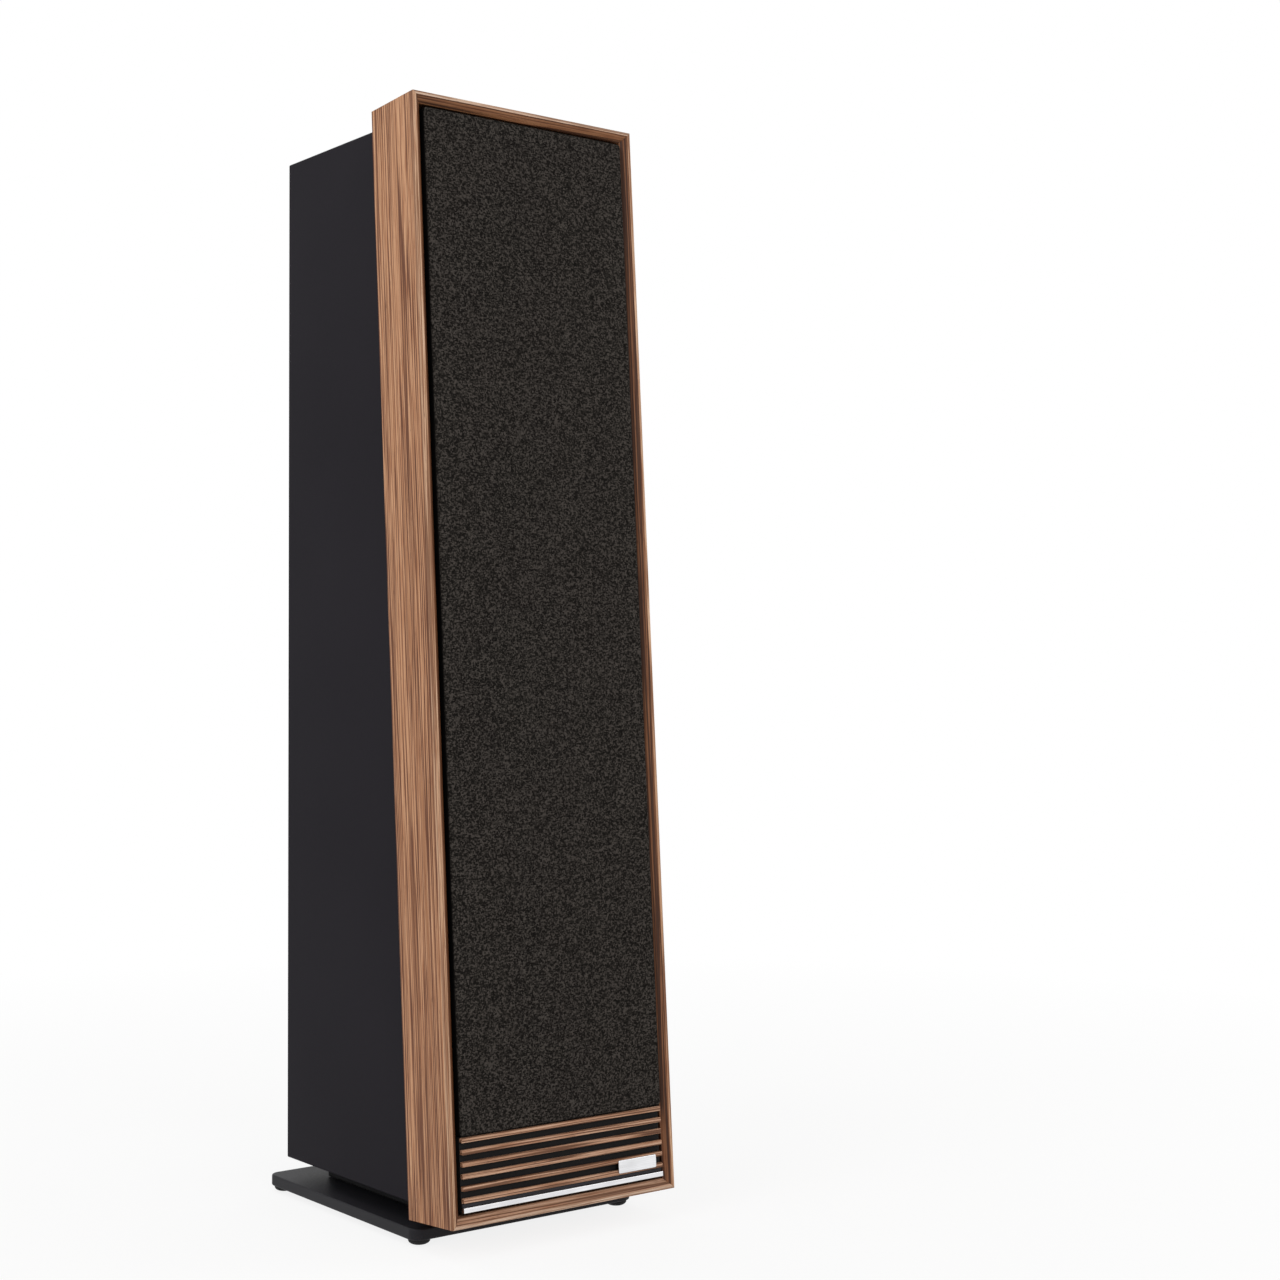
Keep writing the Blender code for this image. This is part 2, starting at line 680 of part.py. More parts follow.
# Grille panel
def build_grille_frame(grille, board):
    """Add the rails that the cloth is stretched over."""
    rail_low = CLOTH_BOTTOM + CLOTH_THICKNESS + SEAT_GAP
    rail_high = GRILLE_TOP - CLOTH_THICKNESS - SEAT_GAP
    inner = RAIL_EDGE - RAIL_WIDTH
    side_high = rail_high - RAIL_WIDTH - SEAT_GAP
    bar = (UPPER_WOOFER_PLACE + LOWER_WOOFER_PLACE) / 2
    bar_end = inner - SEAT_GAP
    spans = {
        "grille_rail_left": ((-RAIL_EDGE, rail_low), (-inner, side_high)),
        "grille_rail_right": ((inner, rail_low), (RAIL_EDGE, side_high)),
        "grille_rail_top": ((-RAIL_EDGE, rail_high - RAIL_WIDTH), (RAIL_EDGE, rail_high)),
        "grille_crossbar": ((-bar_end, bar - RAIL_WIDTH / 2), (bar_end, bar + RAIL_WIDTH / 2)),
    }
    for name, ((left, low), (right, high)) in spans.items():
        add_object(name, box_mesh(name, (left, RAIL_FRONT, low), (right, RAIL_BACK, high)), board, grille)
    backing = box_mesh("grille_backing_board", (-SLAT_HALF_WIDTH, BOARD_FRONT, GRILLE_BOTTOM),
                       (SLAT_HALF_WIDTH, RAIL_BACK, CLOTH_BOTTOM - SEAT_GAP))
    add_object("grille_backing_board", backing, board, grille)


def build_grille_cloth(grille):
    """Add the cloth as a shallow tray, wrapped round the edges of the rails."""
    half = GRILLE_HALF_WIDTH
    wrap_end = GRILLE_RECESS + CLOTH_WRAP
    mesh = box_mesh("grille_cloth", (-half, GRILLE_RECESS, CLOTH_BOTTOM), (half, wrap_end, GRILLE_TOP))
    cloth = add_object("grille_cloth", mesh, grille_fabric(), grille)
    inner = half - CLOTH_THICKNESS
    pocket = box_mesh("cloth_pocket",
                      (-inner, GRILLE_RECESS + CLOTH_THICKNESS, CLOTH_BOTTOM + CLOTH_THICKNESS),
                      (inner, wrap_end + CUT_MARGIN, GRILLE_TOP - CLOTH_THICKNESS))
    boolean(cloth, pocket, "DIFFERENCE", grille)


def build_slats(grille):
    """Add the walnut slats across the backing board, numbered from the top."""
    veneer = walnut()
    for number in range(SLAT_COUNT):
        middle = HIGHEST_SLAT - number * SLAT_PITCH
        name = f"grille_slat_{number + 1}"
        mesh = box_mesh(name, (-SLAT_HALF_WIDTH, GRILLE_RECESS, middle - SLAT_HEIGHT / 2),
                        (SLAT_HALF_WIDTH, GRILLE_RECESS + SLAT_DEPTH, middle + SLAT_HEIGHT / 2))
        slat = add_object(name, mesh, veneer, grille)
        bevel(slat, SLAT_ARRIS)


def build_trim(grille):
    """Add the bright strip below the slats, and the bare badge plate across the last two."""
    metal = satin_aluminium()
    strip = box_mesh("trim_strip", (-SLAT_HALF_WIDTH, GRILLE_RECESS, STRIP_BOTTOM),
                     (SLAT_HALF_WIDTH, GRILLE_RECESS + SLAT_DEPTH, STRIP_BOTTOM + STRIP_HEIGHT))
    bevel(add_object("trim_strip", strip, metal, grille), SLAT_ARRIS)
    right = SLAT_HALF_WIDTH - BADGE_SIDE_MARGIN
    back = GRILLE_RECESS - SEAT_GAP
    middle = LOWEST_SLAT + SLAT_PITCH / 2
    badge = rounded_plate_mesh("badge_plate",
                               (right - BADGE_WIDTH, back - BADGE_THICKNESS, middle - BADGE_HEIGHT / 2),
                               (right, back, middle + BADGE_HEIGHT / 2), 1, BADGE_CORNER_RADIUS)
    add_object("badge_plate", badge, metal, grille)


def build_grille(front, board):
    grille = add_empty("grille_axis", front)
    build_grille_frame(grille, board)
    build_grille_cloth(grille)
    build_slats(grille)
    build_trim(grille)


# Woofers, turned about an axis square to the baffle, with height 0 on its front face
def basket_profile():
    rear = -BASKET_DEPTH
    floor = rear + BASKET_WALL
    return [(ROLL_OUTER_RADIUS, FLANGE_TOP), (WOOFER_FLANGE_RADIUS, FLANGE_TOP),
            (WOOFER_FLANGE_RADIUS, FLANGE_BOTTOM), (BASKET_TOP_RADIUS, FLANGE_BOTTOM),
            (BASKET_REAR_RADIUS, floor), (BASKET_REAR_RADIUS, rear),
            (BASKET_REAR_HOLE_RADIUS, rear), (BASKET_REAR_HOLE_RADIUS, floor),
            (BASKET_REAR_RADIUS - BASKET_WALL, floor), (ROLL_OUTER_RADIUS, FLANGE_BOTTOM)]


def basket_inner_radius(depth):
    """Give the inner radius of the basket wall at a depth behind the baffle's face."""
    floor = BASKET_DEPTH - BASKET_WALL
    share = (floor - depth) / (floor + FLANGE_BOTTOM)
    low = BASKET_REAR_RADIUS - BASKET_WALL
    return low + share * (ROLL_OUTER_RADIUS - low)


def basket_window_mesh():
    """Make the ring of separate boxes that opens the basket's wall between its legs."""
    bm = bmesh.new()
    near = basket_inner_radius(BASKET_WINDOW_BOTTOM) - 2 * BASKET_WALL
    far = BASKET_TOP_RADIUS + CUT_MARGIN
    half = BASKET_WINDOW_WIDTH / 2
    for number in range(BASKET_WINDOW_COUNT):
        verts = add_box(bm, (near, -half, -BASKET_WINDOW_BOTTOM), (far, half, -BASKET_WINDOW_TOP))
        angle = 2 * math.pi * (number + 0.5) / BASKET_WINDOW_COUNT
        bmesh.ops.rotate(bm, cent=(0, 0, 0), matrix=Matrix.Rotation(angle, 3, "Z"), verts=verts)
    return mesh_from(bm, "basket_windows")


def cone_front(radius):
    """Give the height of the cone's front surface at a radius."""
    share = (radius - NECK_RADIUS) / (WOOFER_CONE_RADIUS - NECK_RADIUS)
    return -CONE_DEPTH + CONE_DEPTH * share ** CONE_FLARE + CONE_THICKNESS


def cone_profile():
    span = WOOFER_CONE_RADIUS - NECK_RADIUS
    radii = [NECK_RADIUS + span * i / CONE_SEGMENTS for i in range(CONE_SEGMENTS + 1)]
    front = [(r, cone_front(r)) for r in radii]
    back = [(r, cone_front(r) - CONE_THICKNESS) for r in reversed(radii)]
    return front + back


def roll_profile():
    """Give the half roll between the cone's rim and its flat landing on the flange."""
    middle = (ROLL_INNER_RADIUS + ROLL_OUTER_RADIUS) / 2
    big = ROLL_WIDTH / 2
    small = big - ROLL_THICKNESS
    shoulder = math.asin(ROLL_THICKNESS / big)
    sweep = [math.pi + (shoulder - math.pi) * i / ROLL_SEGMENTS for i in range(ROLL_SEGMENTS + 1)]
    over = [(middle + big * math.cos(a), big * math.sin(a)) for a in sweep]
    edge = ROLL_OUTER_RADIUS + ROLL_LANDING
    landing = [(edge, ROLL_THICKNESS), (edge, 0.0)]
    back = [math.pi * i / ROLL_SEGMENTS for i in range(ROLL_SEGMENTS + 1)]
    under = [(middle + small * math.cos(a), small * math.sin(a)) for a in back]
    return over + landing + under


def spider_profile():
    """Give the ripples of the disc that centres the coil."""
    outer = basket_inner_radius(SPIDER_DEPTH) - 2 * SEAT_GAP
    shares = [i / SPIDER_SEGMENTS for i in range(SPIDER_SEGMENTS + 1)]
    line = [(NECK_RADIUS + (outer - NECK_RADIUS) * s,
             -SPIDER_DEPTH + SPIDER_WAVE * math.sin(2 * math.pi * SPIDER_WAVES * s)) for s in shares]
    front = [(r, z + SPIDER_THICKNESS / 2) for r, z in line]
    back = [(r, z - SPIDER_THICKNESS / 2) for r, z in reversed(line)]
    return front + back


def coil_profile():
    top = -CONE_DEPTH + CONE_THICKNESS
    bottom = top - COIL_LENGTH
    inner = COIL_RADIUS - COIL_WALL
    return [(inner, top), (COIL_RADIUS, top), (COIL_RADIUS, bottom), (inner, bottom)]


def motor_profile():
    """Give the magnet and its plates, with the ring gap that the coil moves in."""
    pole = COIL_RADIUS - COIL_WALL - COIL_POLE_GAP
    plate_hole = COIL_RADIUS + COIL_PLATE_GAP
    magnet_top = MOTOR_TOP - MOTOR_PLATE_THICKNESS
    magnet_bottom = magnet_top - MAGNET_HEIGHT
    bottom = magnet_bottom - MOTOR_PLATE_THICKNESS
    return [(0.0, MOTOR_TOP), (pole, MOTOR_TOP), (pole, magnet_bottom), (plate_hole, magnet_bottom),
            (plate_hole, MOTOR_TOP), (MOTOR_PLATE_RADIUS, MOTOR_TOP), (MOTOR_PLATE_RADIUS, magnet_top),
            (MAGNET_RADIUS, magnet_top), (MAGNET_RADIUS, magnet_bottom),
            (MOTOR_PLATE_RADIUS, magnet_bottom), (MOTOR_PLATE_RADIUS, bottom), (0.0, bottom)]


def cap_profile():
    """Give the domed cap that closes the middle of the cone."""
    foot = cone_front(CAP_RADIUS) + 2 * SEAT_GAP
    front = [(CAP_RADIUS * math.sin(a), foot + CAP_RISE * math.cos(a)) for a in quarter_turn()]
    small = CAP_RADIUS - CAP_THICKNESS
    rise = CAP_RISE - CAP_THICKNESS
    back = [(small * math.sin(a), foot + rise * math.cos(a)) for a in reversed(quarter_turn())]
    return front + back


def add_basket_tab(basket, axis, turn):
    """Join the terminal tab to the rear rim of the basket."""
    start = BASKET_REAR_RADIUS - BASKET_WALL
    end = BASKET_REAR_RADIUS + BASKET_TAB_LENGTH
    half = BASKET_TAB_WIDTH / 2
    tab = box_mesh("basket_tab", (start, -half, -BASKET_DEPTH + SEAT_GAP),
                   (end, half, -BASKET_DEPTH + BASKET_WALL - SEAT_GAP))
    boolean(basket, tab, "UNION", axis, turn=turn)


def build_woofers(front):
    steps = WOOFER_STEPS
    makers = {
        "basket": (turned_mesh("woofer_basket", basket_profile(), steps), cast_basket()),
        "motor": (turned_mesh("woofer_motor", motor_profile(), steps, closed=False), ferrite_motor()),
        "spider": (turned_mesh("woofer_spider", spider_profile(), steps), spider_cloth()),
        "voice_coil": (turned_mesh("woofer_coil", coil_profile(), steps), coil_former()),
        "cone": (turned_mesh("woofer_cone", cone_profile(), steps), paper_cone()),
        "roll": (turned_mesh("woofer_roll", roll_profile(), steps), black_rubber()),
        "dust_cap": (turned_mesh("woofer_cap", cap_profile(), steps, closed=False), paper_cone()),
    }
    windows = basket_window_mesh()
    places = {"upper": (UPPER_WOOFER_PLACE, 0.0), "lower": (LOWER_WOOFER_PLACE, math.pi)}
    for level, (place, spin) in places.items():
        axis = add_empty(f"woofer_{level}_axis", front, (0, BAFFLE_RECESS, place), (math.pi / 2, 0, 0))
        turn = (0, 0, spin)
        for piece, (mesh, material) in makers.items():
            obj = add_object(f"woofer_{level}_{piece}", mesh, material, axis, turn=turn)
            if piece == "basket":
                boolean(obj, windows, "DIFFERENCE", axis, turn=turn)
                add_basket_tab(obj, axis, turn)


# Tweeter, on an axis of its own
def tweeter_face_profile():
    """Give the faceplate, whose middle flares open as a shallow waveguide."""
    top = -SEAT_GAP
    return [(TWEETER_THROAT + TWEETER_WAVEGUIDE_FLARE, top), (TWEETER_FACE_RADIUS, top),
            (TWEETER_FACE_RADIUS, TWEETER_FACE_BOTTOM), (TWEETER_THROAT, TWEETER_FACE_BOTTOM),
            (TWEETER_THROAT, TWEETER_FACE_BOTTOM + TWEETER_DOME_THICKNESS)]


def tweeter_dome_profile():
    """Give the dome with the small half roll round it, in one skin."""
    foot = -TWEETER_DOME_RECESS
    rim = TWEETER_DOME_RADIUS + TWEETER_ROLL_WIDTH
    crown = TWEETER_DOME_RADIUS + TWEETER_ROLL_WIDTH / 2
    front = [(TWEETER_DOME_RADIUS * math.sin(a), foot + TWEETER_DOME_RISE * math.cos(a))
             for a in quarter_turn()]
    front += [(crown, foot + TWEETER_ROLL_RISE), (rim, foot)]
    back = [(r, z - TWEETER_DOME_THICKNESS) for r, z in reversed(front)]
    return front + back


def tweeter_motor_profile():
    bottom = TWEETER_MOTOR_TOP - TWEETER_MOTOR_HEIGHT
    return [(0.0, TWEETER_MOTOR_TOP), (TWEETER_MOTOR_RADIUS, TWEETER_MOTOR_TOP),
            (TWEETER_MOTOR_RADIUS, bottom), (0.0, bottom)]


def build_tweeter(front):
    axis = add_empty("tweeter_axis", front, (0, BAFFLE_RECESS, TWEETER_PLACE), (math.pi / 2, 0, 0))
    face = turned_mesh("tweeter_faceplate", tweeter_face_profile(), TWEETER_STEPS)
    dome = turned_mesh("tweeter_dome", tweeter_dome_profile(), TWEETER_STEPS, closed=False)
    motor = turned_mesh("tweeter_motor", tweeter_motor_profile(), TWEETER_STEPS, closed=False)
    add_object("tweeter_faceplate", face, moulded_black(), axis)
    add_object("tweeter_dome", dome, silk_dome(), axis)
    add_object("tweeter_motor", motor, ferrite_motor(), axis)


# Reflex port
def port_profile():
    """Give the tube with its flared mouth, from the flange down to the inner end."""
    top = SEAT_GAP + PORT_FLANGE_THICKNESS
    end = -PORT_LENGTH
    tube = PORT_BORE_RADIUS + PORT_WALL
    spread = PORT_MOUTH_RADIUS - PORT_BORE_RADIUS
    fall = PORT_FLARE_LENGTH + top
    flare = [(PORT_MOUTH_RADIUS - spread * math.sin(a), top - fall * (1 - math.cos(a)))
             for a in reversed(quarter_turn())]
    return [(PORT_COLLAR_RADIUS + PORT_FLANGE_LAND, top), (PORT_COLLAR_RADIUS + PORT_FLANGE_LAND, SEAT_GAP),
            (PORT_COLLAR_RADIUS, SEAT_GAP), (PORT_COLLAR_RADIUS, -PANEL_THICKNESS),
            (tube, -PANEL_THICKNESS - PORT_FLARE_LENGTH), (tube, end), (PORT_BORE_RADIUS, end), *flare]


def build_port():
    mesh = turned_mesh("port_tube", port_profile(), PORT_STEPS)
    add_object("port_tube", mesh, moulded_black(), location=(0, CABINET_REAR_Y, PORT_HEIGHT),
               turn=(-math.pi / 2, 0, 0))


# Terminals
def build_terminal_plate():
    half_wide = TERMINAL_WIDTH / 2
    half_tall = TERMINAL_TALL / 2
    mesh = rounded_plate_mesh("terminal_plate",
                              (-half_wide, CABINET_REAR_Y + SEAT_GAP, TERMINAL_HEIGHT - half_tall),
                              (half_wide, CABINET_REAR_Y + TERMINAL_TOP, TERMINAL_HEIGHT + half_tall),
                              1, TERMINAL_CORNER_RADIUS)
    plate = add_object("terminal_plate", mesh, moulded_black())
    hole = cylinder_mesh("post_hole", POST_BORE, SEAT_GAP - CUT_MARGIN, TERMINAL_TOP + CUT_MARGIN,
                         TERMINAL_STEPS)
    for x in (-POST_SPACING / 2, POST_SPACING / 2):
        boolean(plate, hole, "DIFFERENCE", location=(x, CABINET_REAR_Y, TERMINAL_HEIGHT),
                turn=(-math.pi / 2, 0, 0))


def post_profile():
    """Give the stud with the collar that seats it on the plate."""
    collar_bottom = TERMINAL_TOP + SEAT_GAP
    end = COLLAR_TOP + POST_STICK_OUT
    return [(0.0, end), (POST_RADIUS, end), (POST_RADIUS, COLLAR_TOP), (POST_COLLAR_RADIUS, COLLAR_TOP),
            (POST_COLLAR_RADIUS, collar_bottom), (POST_RADIUS, collar_bottom),
            (POST_RADIUS, -POST_TAIL), (0.0, -POST_TAIL)]


def knob_curve(name):
    """Make a fluted ring as a flat outline with a bore, thickened along Z."""
    curve = bpy.data.curves.new(name, "CURVE")
    curve.dimensions = "2D"
    curve.fill_mode = "BOTH"
    curve.extrude = KNOB_LENGTH / 2
    count = KNOB_FLUTES * KNOB_POINTS_PER_FLUTE
    angles = [2 * math.pi * i / count for i in range(count)]
    outer = [KNOB_RADIUS - KNOB_FLUTE_DEPTH * (1 - math.cos(KNOB_FLUTES * a)) / 2 for a in angles]
    bore_angles = [2 * math.pi * i / TERMINAL_STEPS for i in range(TERMINAL_STEPS)]
    add_outline(curve, [(r * math.cos(a), r * math.sin(a)) for r, a in zip(outer, angles)])
    add_outline(curve, [(POST_BORE * math.cos(a), POST_BORE * math.sin(a)) for a in bore_angles])
    return curve


def add_outline(curve, points):
    spline = curve.splines.new("POLY")
    spline.points.add(len(points) - 1)
    for point, (x, y) in zip(spline.points, points):
        point.co = (x, y, 0, 1)
    spline.use_cyclic_u = True


def build_terminals():
    build_terminal_plate()
    post = turned_mesh("terminal_post", post_profile(), TERMINAL_STEPS, closed=False)
    ring = [(POST_BORE, WASHER_BOTTOM + WASHER_THICKNESS), (WASHER_RADIUS, WASHER_BOTTOM + WASHER_THICKNESS),
            (WASHER_RADIUS, WASHER_BOTTOM), (POST_BORE, WASHER_BOTTOM)]
    washer = turned_mesh("terminal_washer", ring, TERMINAL_STEPS)
    brass = plated_brass()
    caps = {"red": (POST_SPACING / 2, red_knob_plastic()), "black": (-POST_SPACING / 2, moulded_black())}
    for colour, (x, plastic) in caps.items():
        axis = add_empty(f"terminal_{colour}_axis", None, (x, CABINET_REAR_Y, TERMINAL_HEIGHT),
                         (-math.pi / 2, 0, 0))
        add_object(f"terminal_post_{colour}", post, brass, axis)
        add_object(f"terminal_washer_{colour}", washer, brass, axis)
        name = f"terminal_knob_{colour}"
        add_object(name, knob_curve(name), plastic, axis, (0, 0, KNOB_BOTTOM + KNOB_LENGTH / 2))


# Crossover board
def wire_starts():
    """Give the X of each wire where it leaves its block at the rear of the board."""
    return (-TAB_REACH, -TWEETER_WIRE_OFFSET, TAB_REACH)


def build_crossover():
    """Add the board, standing on its four pillars, with its parts joined to it."""
    half_wide = BOARD_WIDTH / 2
    half_deep = BOARD_DEPTH / 2
    mesh = box_mesh("crossover_board", (-half_wide, -half_deep, BOARD_BOTTOM),
                    (half_wide, half_deep, BOARD_TOP))
    board = add_object("crossover_board", mesh, circuit_board(), location=(0, BOARD_Y, 0))
    sink = BOARD_THICKNESS / 2
    pillar = cylinder_mesh("pillar", STANDOFF_RADIUS, INNER_BOTTOM + SEAT_GAP, BOARD_BOTTOM + sink,
                           BOARD_STEPS)
    for x in (-half_wide + STANDOFF_INSET, half_wide - STANDOFF_INSET):
        for y in (-half_deep + STANDOFF_INSET, half_deep - STANDOFF_INSET):
            boolean(board, pillar, "UNION", location=(x, BOARD_Y + y, 0))
    coil = cylinder_mesh("inductor", INDUCTOR_RADIUS, BOARD_TOP - sink, BOARD_TOP + INDUCTOR_HEIGHT,
                         BOARD_STEPS)
    for x in (-INDUCTOR_SPACING / 2, INDUCTOR_SPACING / 2):
        boolean(board, coil, "UNION", location=(x, BOARD_Y - INDUCTOR_FRONT_OFFSET, 0))
    half_can = CAPACITOR_LENGTH / 2
    can = cylinder_mesh("capacitor", CAPACITOR_RADIUS, -half_can, half_can, BOARD_STEPS)
    lift = BOARD_TOP + CAPACITOR_RADIUS - sink
    boolean(board, can, "UNION", location=(0, BOARD_Y + CAPACITOR_REAR_OFFSET, lift),
            turn=(0, math.pi / 2, 0))
    half_block = TERMINAL_BLOCK_SIZE / 2
    rear = FRONT_Y + WIRE_RUN_SETBACK - BOARD_Y
    for x in wire_starts():
        block = box_mesh("block", (x - half_block, rear - half_block, BOARD_TOP - sink),
                         (x + half_block, rear + half_block, BOARD_TOP + TERMINAL_BLOCK_SIZE))
        boolean(board, block, "UNION", location=(0, BOARD_Y, 0))


# Wires
def bend(corner, before, after):
    """Give points round a corner, on a quarter turn between its two straight runs."""
    points = []
    for number in range(WIRE_SAMPLES + 1):
        share = number / WIRE_SAMPLES
        early = before.lerp(corner, share)
        late = corner.lerp(after, share)
        points.append(early.lerp(late, share))
    return points


def wire_points(x, front_end):
    """Route a wire straight up from its block, then forwards to the driver."""
    run = FRONT_Y + WIRE_RUN_SETBACK
    start = Vector((x, run, BOARD_TOP + TERMINAL_BLOCK_SIZE + SEAT_GAP))
    forward = Vector((0, -math.cos(FRONT_TILT), math.sin(FRONT_TILT)))
    end = Vector(front_end)
    reach = (end.y - run) / forward.y
    corner = end - forward * reach
    below = corner - Vector((0, 0, WIRE_BEND))
    ahead = corner + forward * WIRE_BEND
    rise = [start.lerp(below, i / WIRE_SAMPLES) for i in range(WIRE_SAMPLES)]
    return rise + bend(corner, below, ahead) + [end]


def slope_point(x, depth, slope):
    """Give the world place of a point from its place on the leaning front."""
    sin = math.sin(FRONT_TILT)
    cos = math.cos(FRONT_TILT)
    return (x, FRONT_Y + depth * cos + slope * sin, SURROUND_BOTTOM - depth * sin + slope * cos)


def build_wires():
    sleeve = wire_sleeve()
    left, middle, right = wire_starts()
    tab_depth = BAFFLE_RECESS + BASKET_DEPTH
    tweeter_depth = BAFFLE_RECESS - TWEETER_MOTOR_TOP + TWEETER_MOTOR_HEIGHT + SEAT_GAP
    ends = {
        "wire_woofer_lower": (left, slope_point(left, tab_depth, LOWER_WOOFER_PLACE)),
        "wire_tweeter": (middle, slope_point(middle, tweeter_depth, TWEETER_PLACE)),
        "wire_woofer_upper": (right, slope_point(right, tab_depth, UPPER_WOOFER_PLACE)),
    }
    for name, (x, end) in ends.items():
        curve = bpy.data.curves.new(name, "CURVE")
        curve.dimensions = "3D"
        curve.bevel_depth = WIRE_RADIUS
        curve.bevel_resolution = 2
        curve.use_fill_caps = True
        points = wire_points(x, end)
        spline = curve.splines.new("POLY")
        spline.points.add(len(points) - 1)
        for target, point in zip(spline.points, points):
            target.co = (*point, 1)
        add_object(name, curve, sleeve)


def main():
    clear_scene()
    board = black_board()
    front = add_empty("front_slope", None, (0, FRONT_Y, SURROUND_BOTTOM), (-FRONT_TILT, 0, 0))
    build_base()
    build_cabinet(board)
    build_surround(front)
    build_baffle(front, board)
    build_grille(front, board)
    build_woofers(front)
    build_tweeter(front)
    build_port()
    build_terminals()
    build_crossover()
    build_wires()


main()
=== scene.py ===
"""Looks of a floorstanding speaker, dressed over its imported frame.

The front leans back a little, so the surround, grille, baffle and drivers are
built in the front's own axes: X across, U behind the front plane, S up it.
"""
import json
import logging
import math
from collections.abc import Callable, Sequence
from dataclasses import dataclass
from enum import Enum

import bmesh
import bpy
from mathutils import Matrix, Vector
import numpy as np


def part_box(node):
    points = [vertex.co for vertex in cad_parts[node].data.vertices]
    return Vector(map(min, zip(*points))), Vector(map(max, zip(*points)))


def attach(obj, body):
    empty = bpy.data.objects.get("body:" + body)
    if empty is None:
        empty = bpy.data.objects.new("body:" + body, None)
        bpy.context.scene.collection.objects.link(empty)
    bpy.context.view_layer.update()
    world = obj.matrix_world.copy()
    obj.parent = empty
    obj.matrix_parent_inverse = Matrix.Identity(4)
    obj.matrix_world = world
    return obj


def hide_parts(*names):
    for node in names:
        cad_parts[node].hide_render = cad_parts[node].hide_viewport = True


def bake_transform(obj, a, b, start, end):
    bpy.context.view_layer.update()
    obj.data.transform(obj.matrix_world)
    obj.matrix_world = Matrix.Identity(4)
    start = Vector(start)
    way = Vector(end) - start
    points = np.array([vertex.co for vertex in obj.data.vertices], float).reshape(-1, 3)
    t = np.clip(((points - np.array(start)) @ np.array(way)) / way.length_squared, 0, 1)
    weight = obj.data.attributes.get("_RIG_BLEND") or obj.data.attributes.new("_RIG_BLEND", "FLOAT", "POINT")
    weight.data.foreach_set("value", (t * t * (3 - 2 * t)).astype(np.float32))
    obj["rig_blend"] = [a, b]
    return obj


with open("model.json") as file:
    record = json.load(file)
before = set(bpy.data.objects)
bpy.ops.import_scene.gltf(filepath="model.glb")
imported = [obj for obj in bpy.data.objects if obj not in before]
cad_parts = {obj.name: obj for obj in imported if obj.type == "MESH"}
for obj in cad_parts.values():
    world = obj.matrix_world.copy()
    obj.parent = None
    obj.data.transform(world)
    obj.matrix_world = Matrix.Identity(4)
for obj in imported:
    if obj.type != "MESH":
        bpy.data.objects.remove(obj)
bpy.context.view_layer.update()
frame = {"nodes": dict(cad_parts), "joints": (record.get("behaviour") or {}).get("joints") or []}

LOG = logging.getLogger("floorstanding_speaker")
MM = 0.001
TINY = 1e-6
QUARTER = math.pi / 2
# Facets around the axis, from the drivers down to the screw heads.
FINE_STEPS = 96
SMALL_STEPS = 48
DISC_STEPS = 32
SCREW_STEPS = 24
# A wave texture counts 20 radians to a unit; noise seldom leaves its span.
WAVE_RADIANS = 20.0
NOISE_SPAN = (0.3, 0.7)
UNIT_SPAN = (0.0, 1.0)
WHITE = "FFFFFF"
MULTIPLY = {"data_type": "RGBA", "blend_type": "MULTIPLY"}
SURROUND = tuple(f"surround_{side}" for side in ("left", "right", "bottom", "top"))

Span = tuple[float, float]
Sizes = tuple[float, float, float]
Profile = list[Span]
Form = bmesh.types.BMesh
Piece = bpy.types.Object
Tree = bpy.types.NodeTree
Node = bpy.types.Node
Socket = bpy.types.NodeSocket


class LeaningFront:
    """Axes of the leaning front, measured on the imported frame."""

    def __init__(self) -> None:
        """Take the lean from the grille's joint and the corner from the surround."""
        pull = next(j for j in frame["joints"] if j["name"] == "grille_pull")
        across = Vector((1, 0, 0))
        inward = -Vector(pull["axis"]).normalized()
        upward = across.cross(inward)
        self.lean = math.asin(upward.y)
        self.matrix = Matrix((across, inward, upward)).transposed().to_4x4()
        low, _ = self.measure(*SURROUND)
        self.matrix = self.matrix @ Matrix.Translation((0, low.y, low.z))

    def measure(self, *nodes: str) -> tuple[Vector, Vector]:
        """Measure nodes in the front's axes.

        Args:
            nodes: Names of CAD nodes.

        Returns:
            Lowest and highest corners, as X, U and S.
        """
        back = self.matrix.inverted()
        spots = [back @ v.co for n in nodes for v in frame["nodes"][n].data.vertices]
        low = Vector([min(p[axis] for p in spots) for axis in range(3)])
        high = Vector([max(p[axis] for p in spots) for axis in range(3)])
        return low, high

    def depth_to_y(self, depth: float, height: float) -> float:
        """Give the world Y at which a plane behind the front has a world height.

        Args:
            depth: Distance of the plane behind the front, in metres.
            height: World Z, in metres.

        Returns:
            World Y, in metres.
        """
        origin = self.matrix.translation
        rise = (height - origin.z) * math.sin(self.lean)
        return origin.y + (depth + rise) / math.cos(self.lean)

    def own_depths(self, node: str, start: float, end: float) -> Span:
        """Give two depths behind a node's front, counted from the world's origin.

        Args:
            node: CAD node whose front is at depth 0.
            start: First depth behind it, in metres.
            end: Second depth behind it, in metres.

        Returns:
            Both depths as a finish finds them in a surface's own coordinates.
        """
        origin = self.matrix.to_3x3().inverted() @ self.matrix.translation
        front = origin.y + self.measure(node)[0].y
        return front + start, front + end

    def driver_axes(self, node: str) -> Matrix:
        """Give axes on the baffle's face at a driver's centre, Z outward.

        Args:
            node: CAD node that is centred on the driver's axis.

        Returns:
            Matrix from the driver's axes to the world.
        """
        low, high = self.measure(node)
        face = self.measure("front_baffle")[0].y
        centre = Matrix.Translation(((low.x + high.x) / 2, face, (low.z + high.z) / 2))
        return self.matrix @ centre @ Matrix.Rotation(QUARTER, 4, "X")


FRONT = LeaningFront()


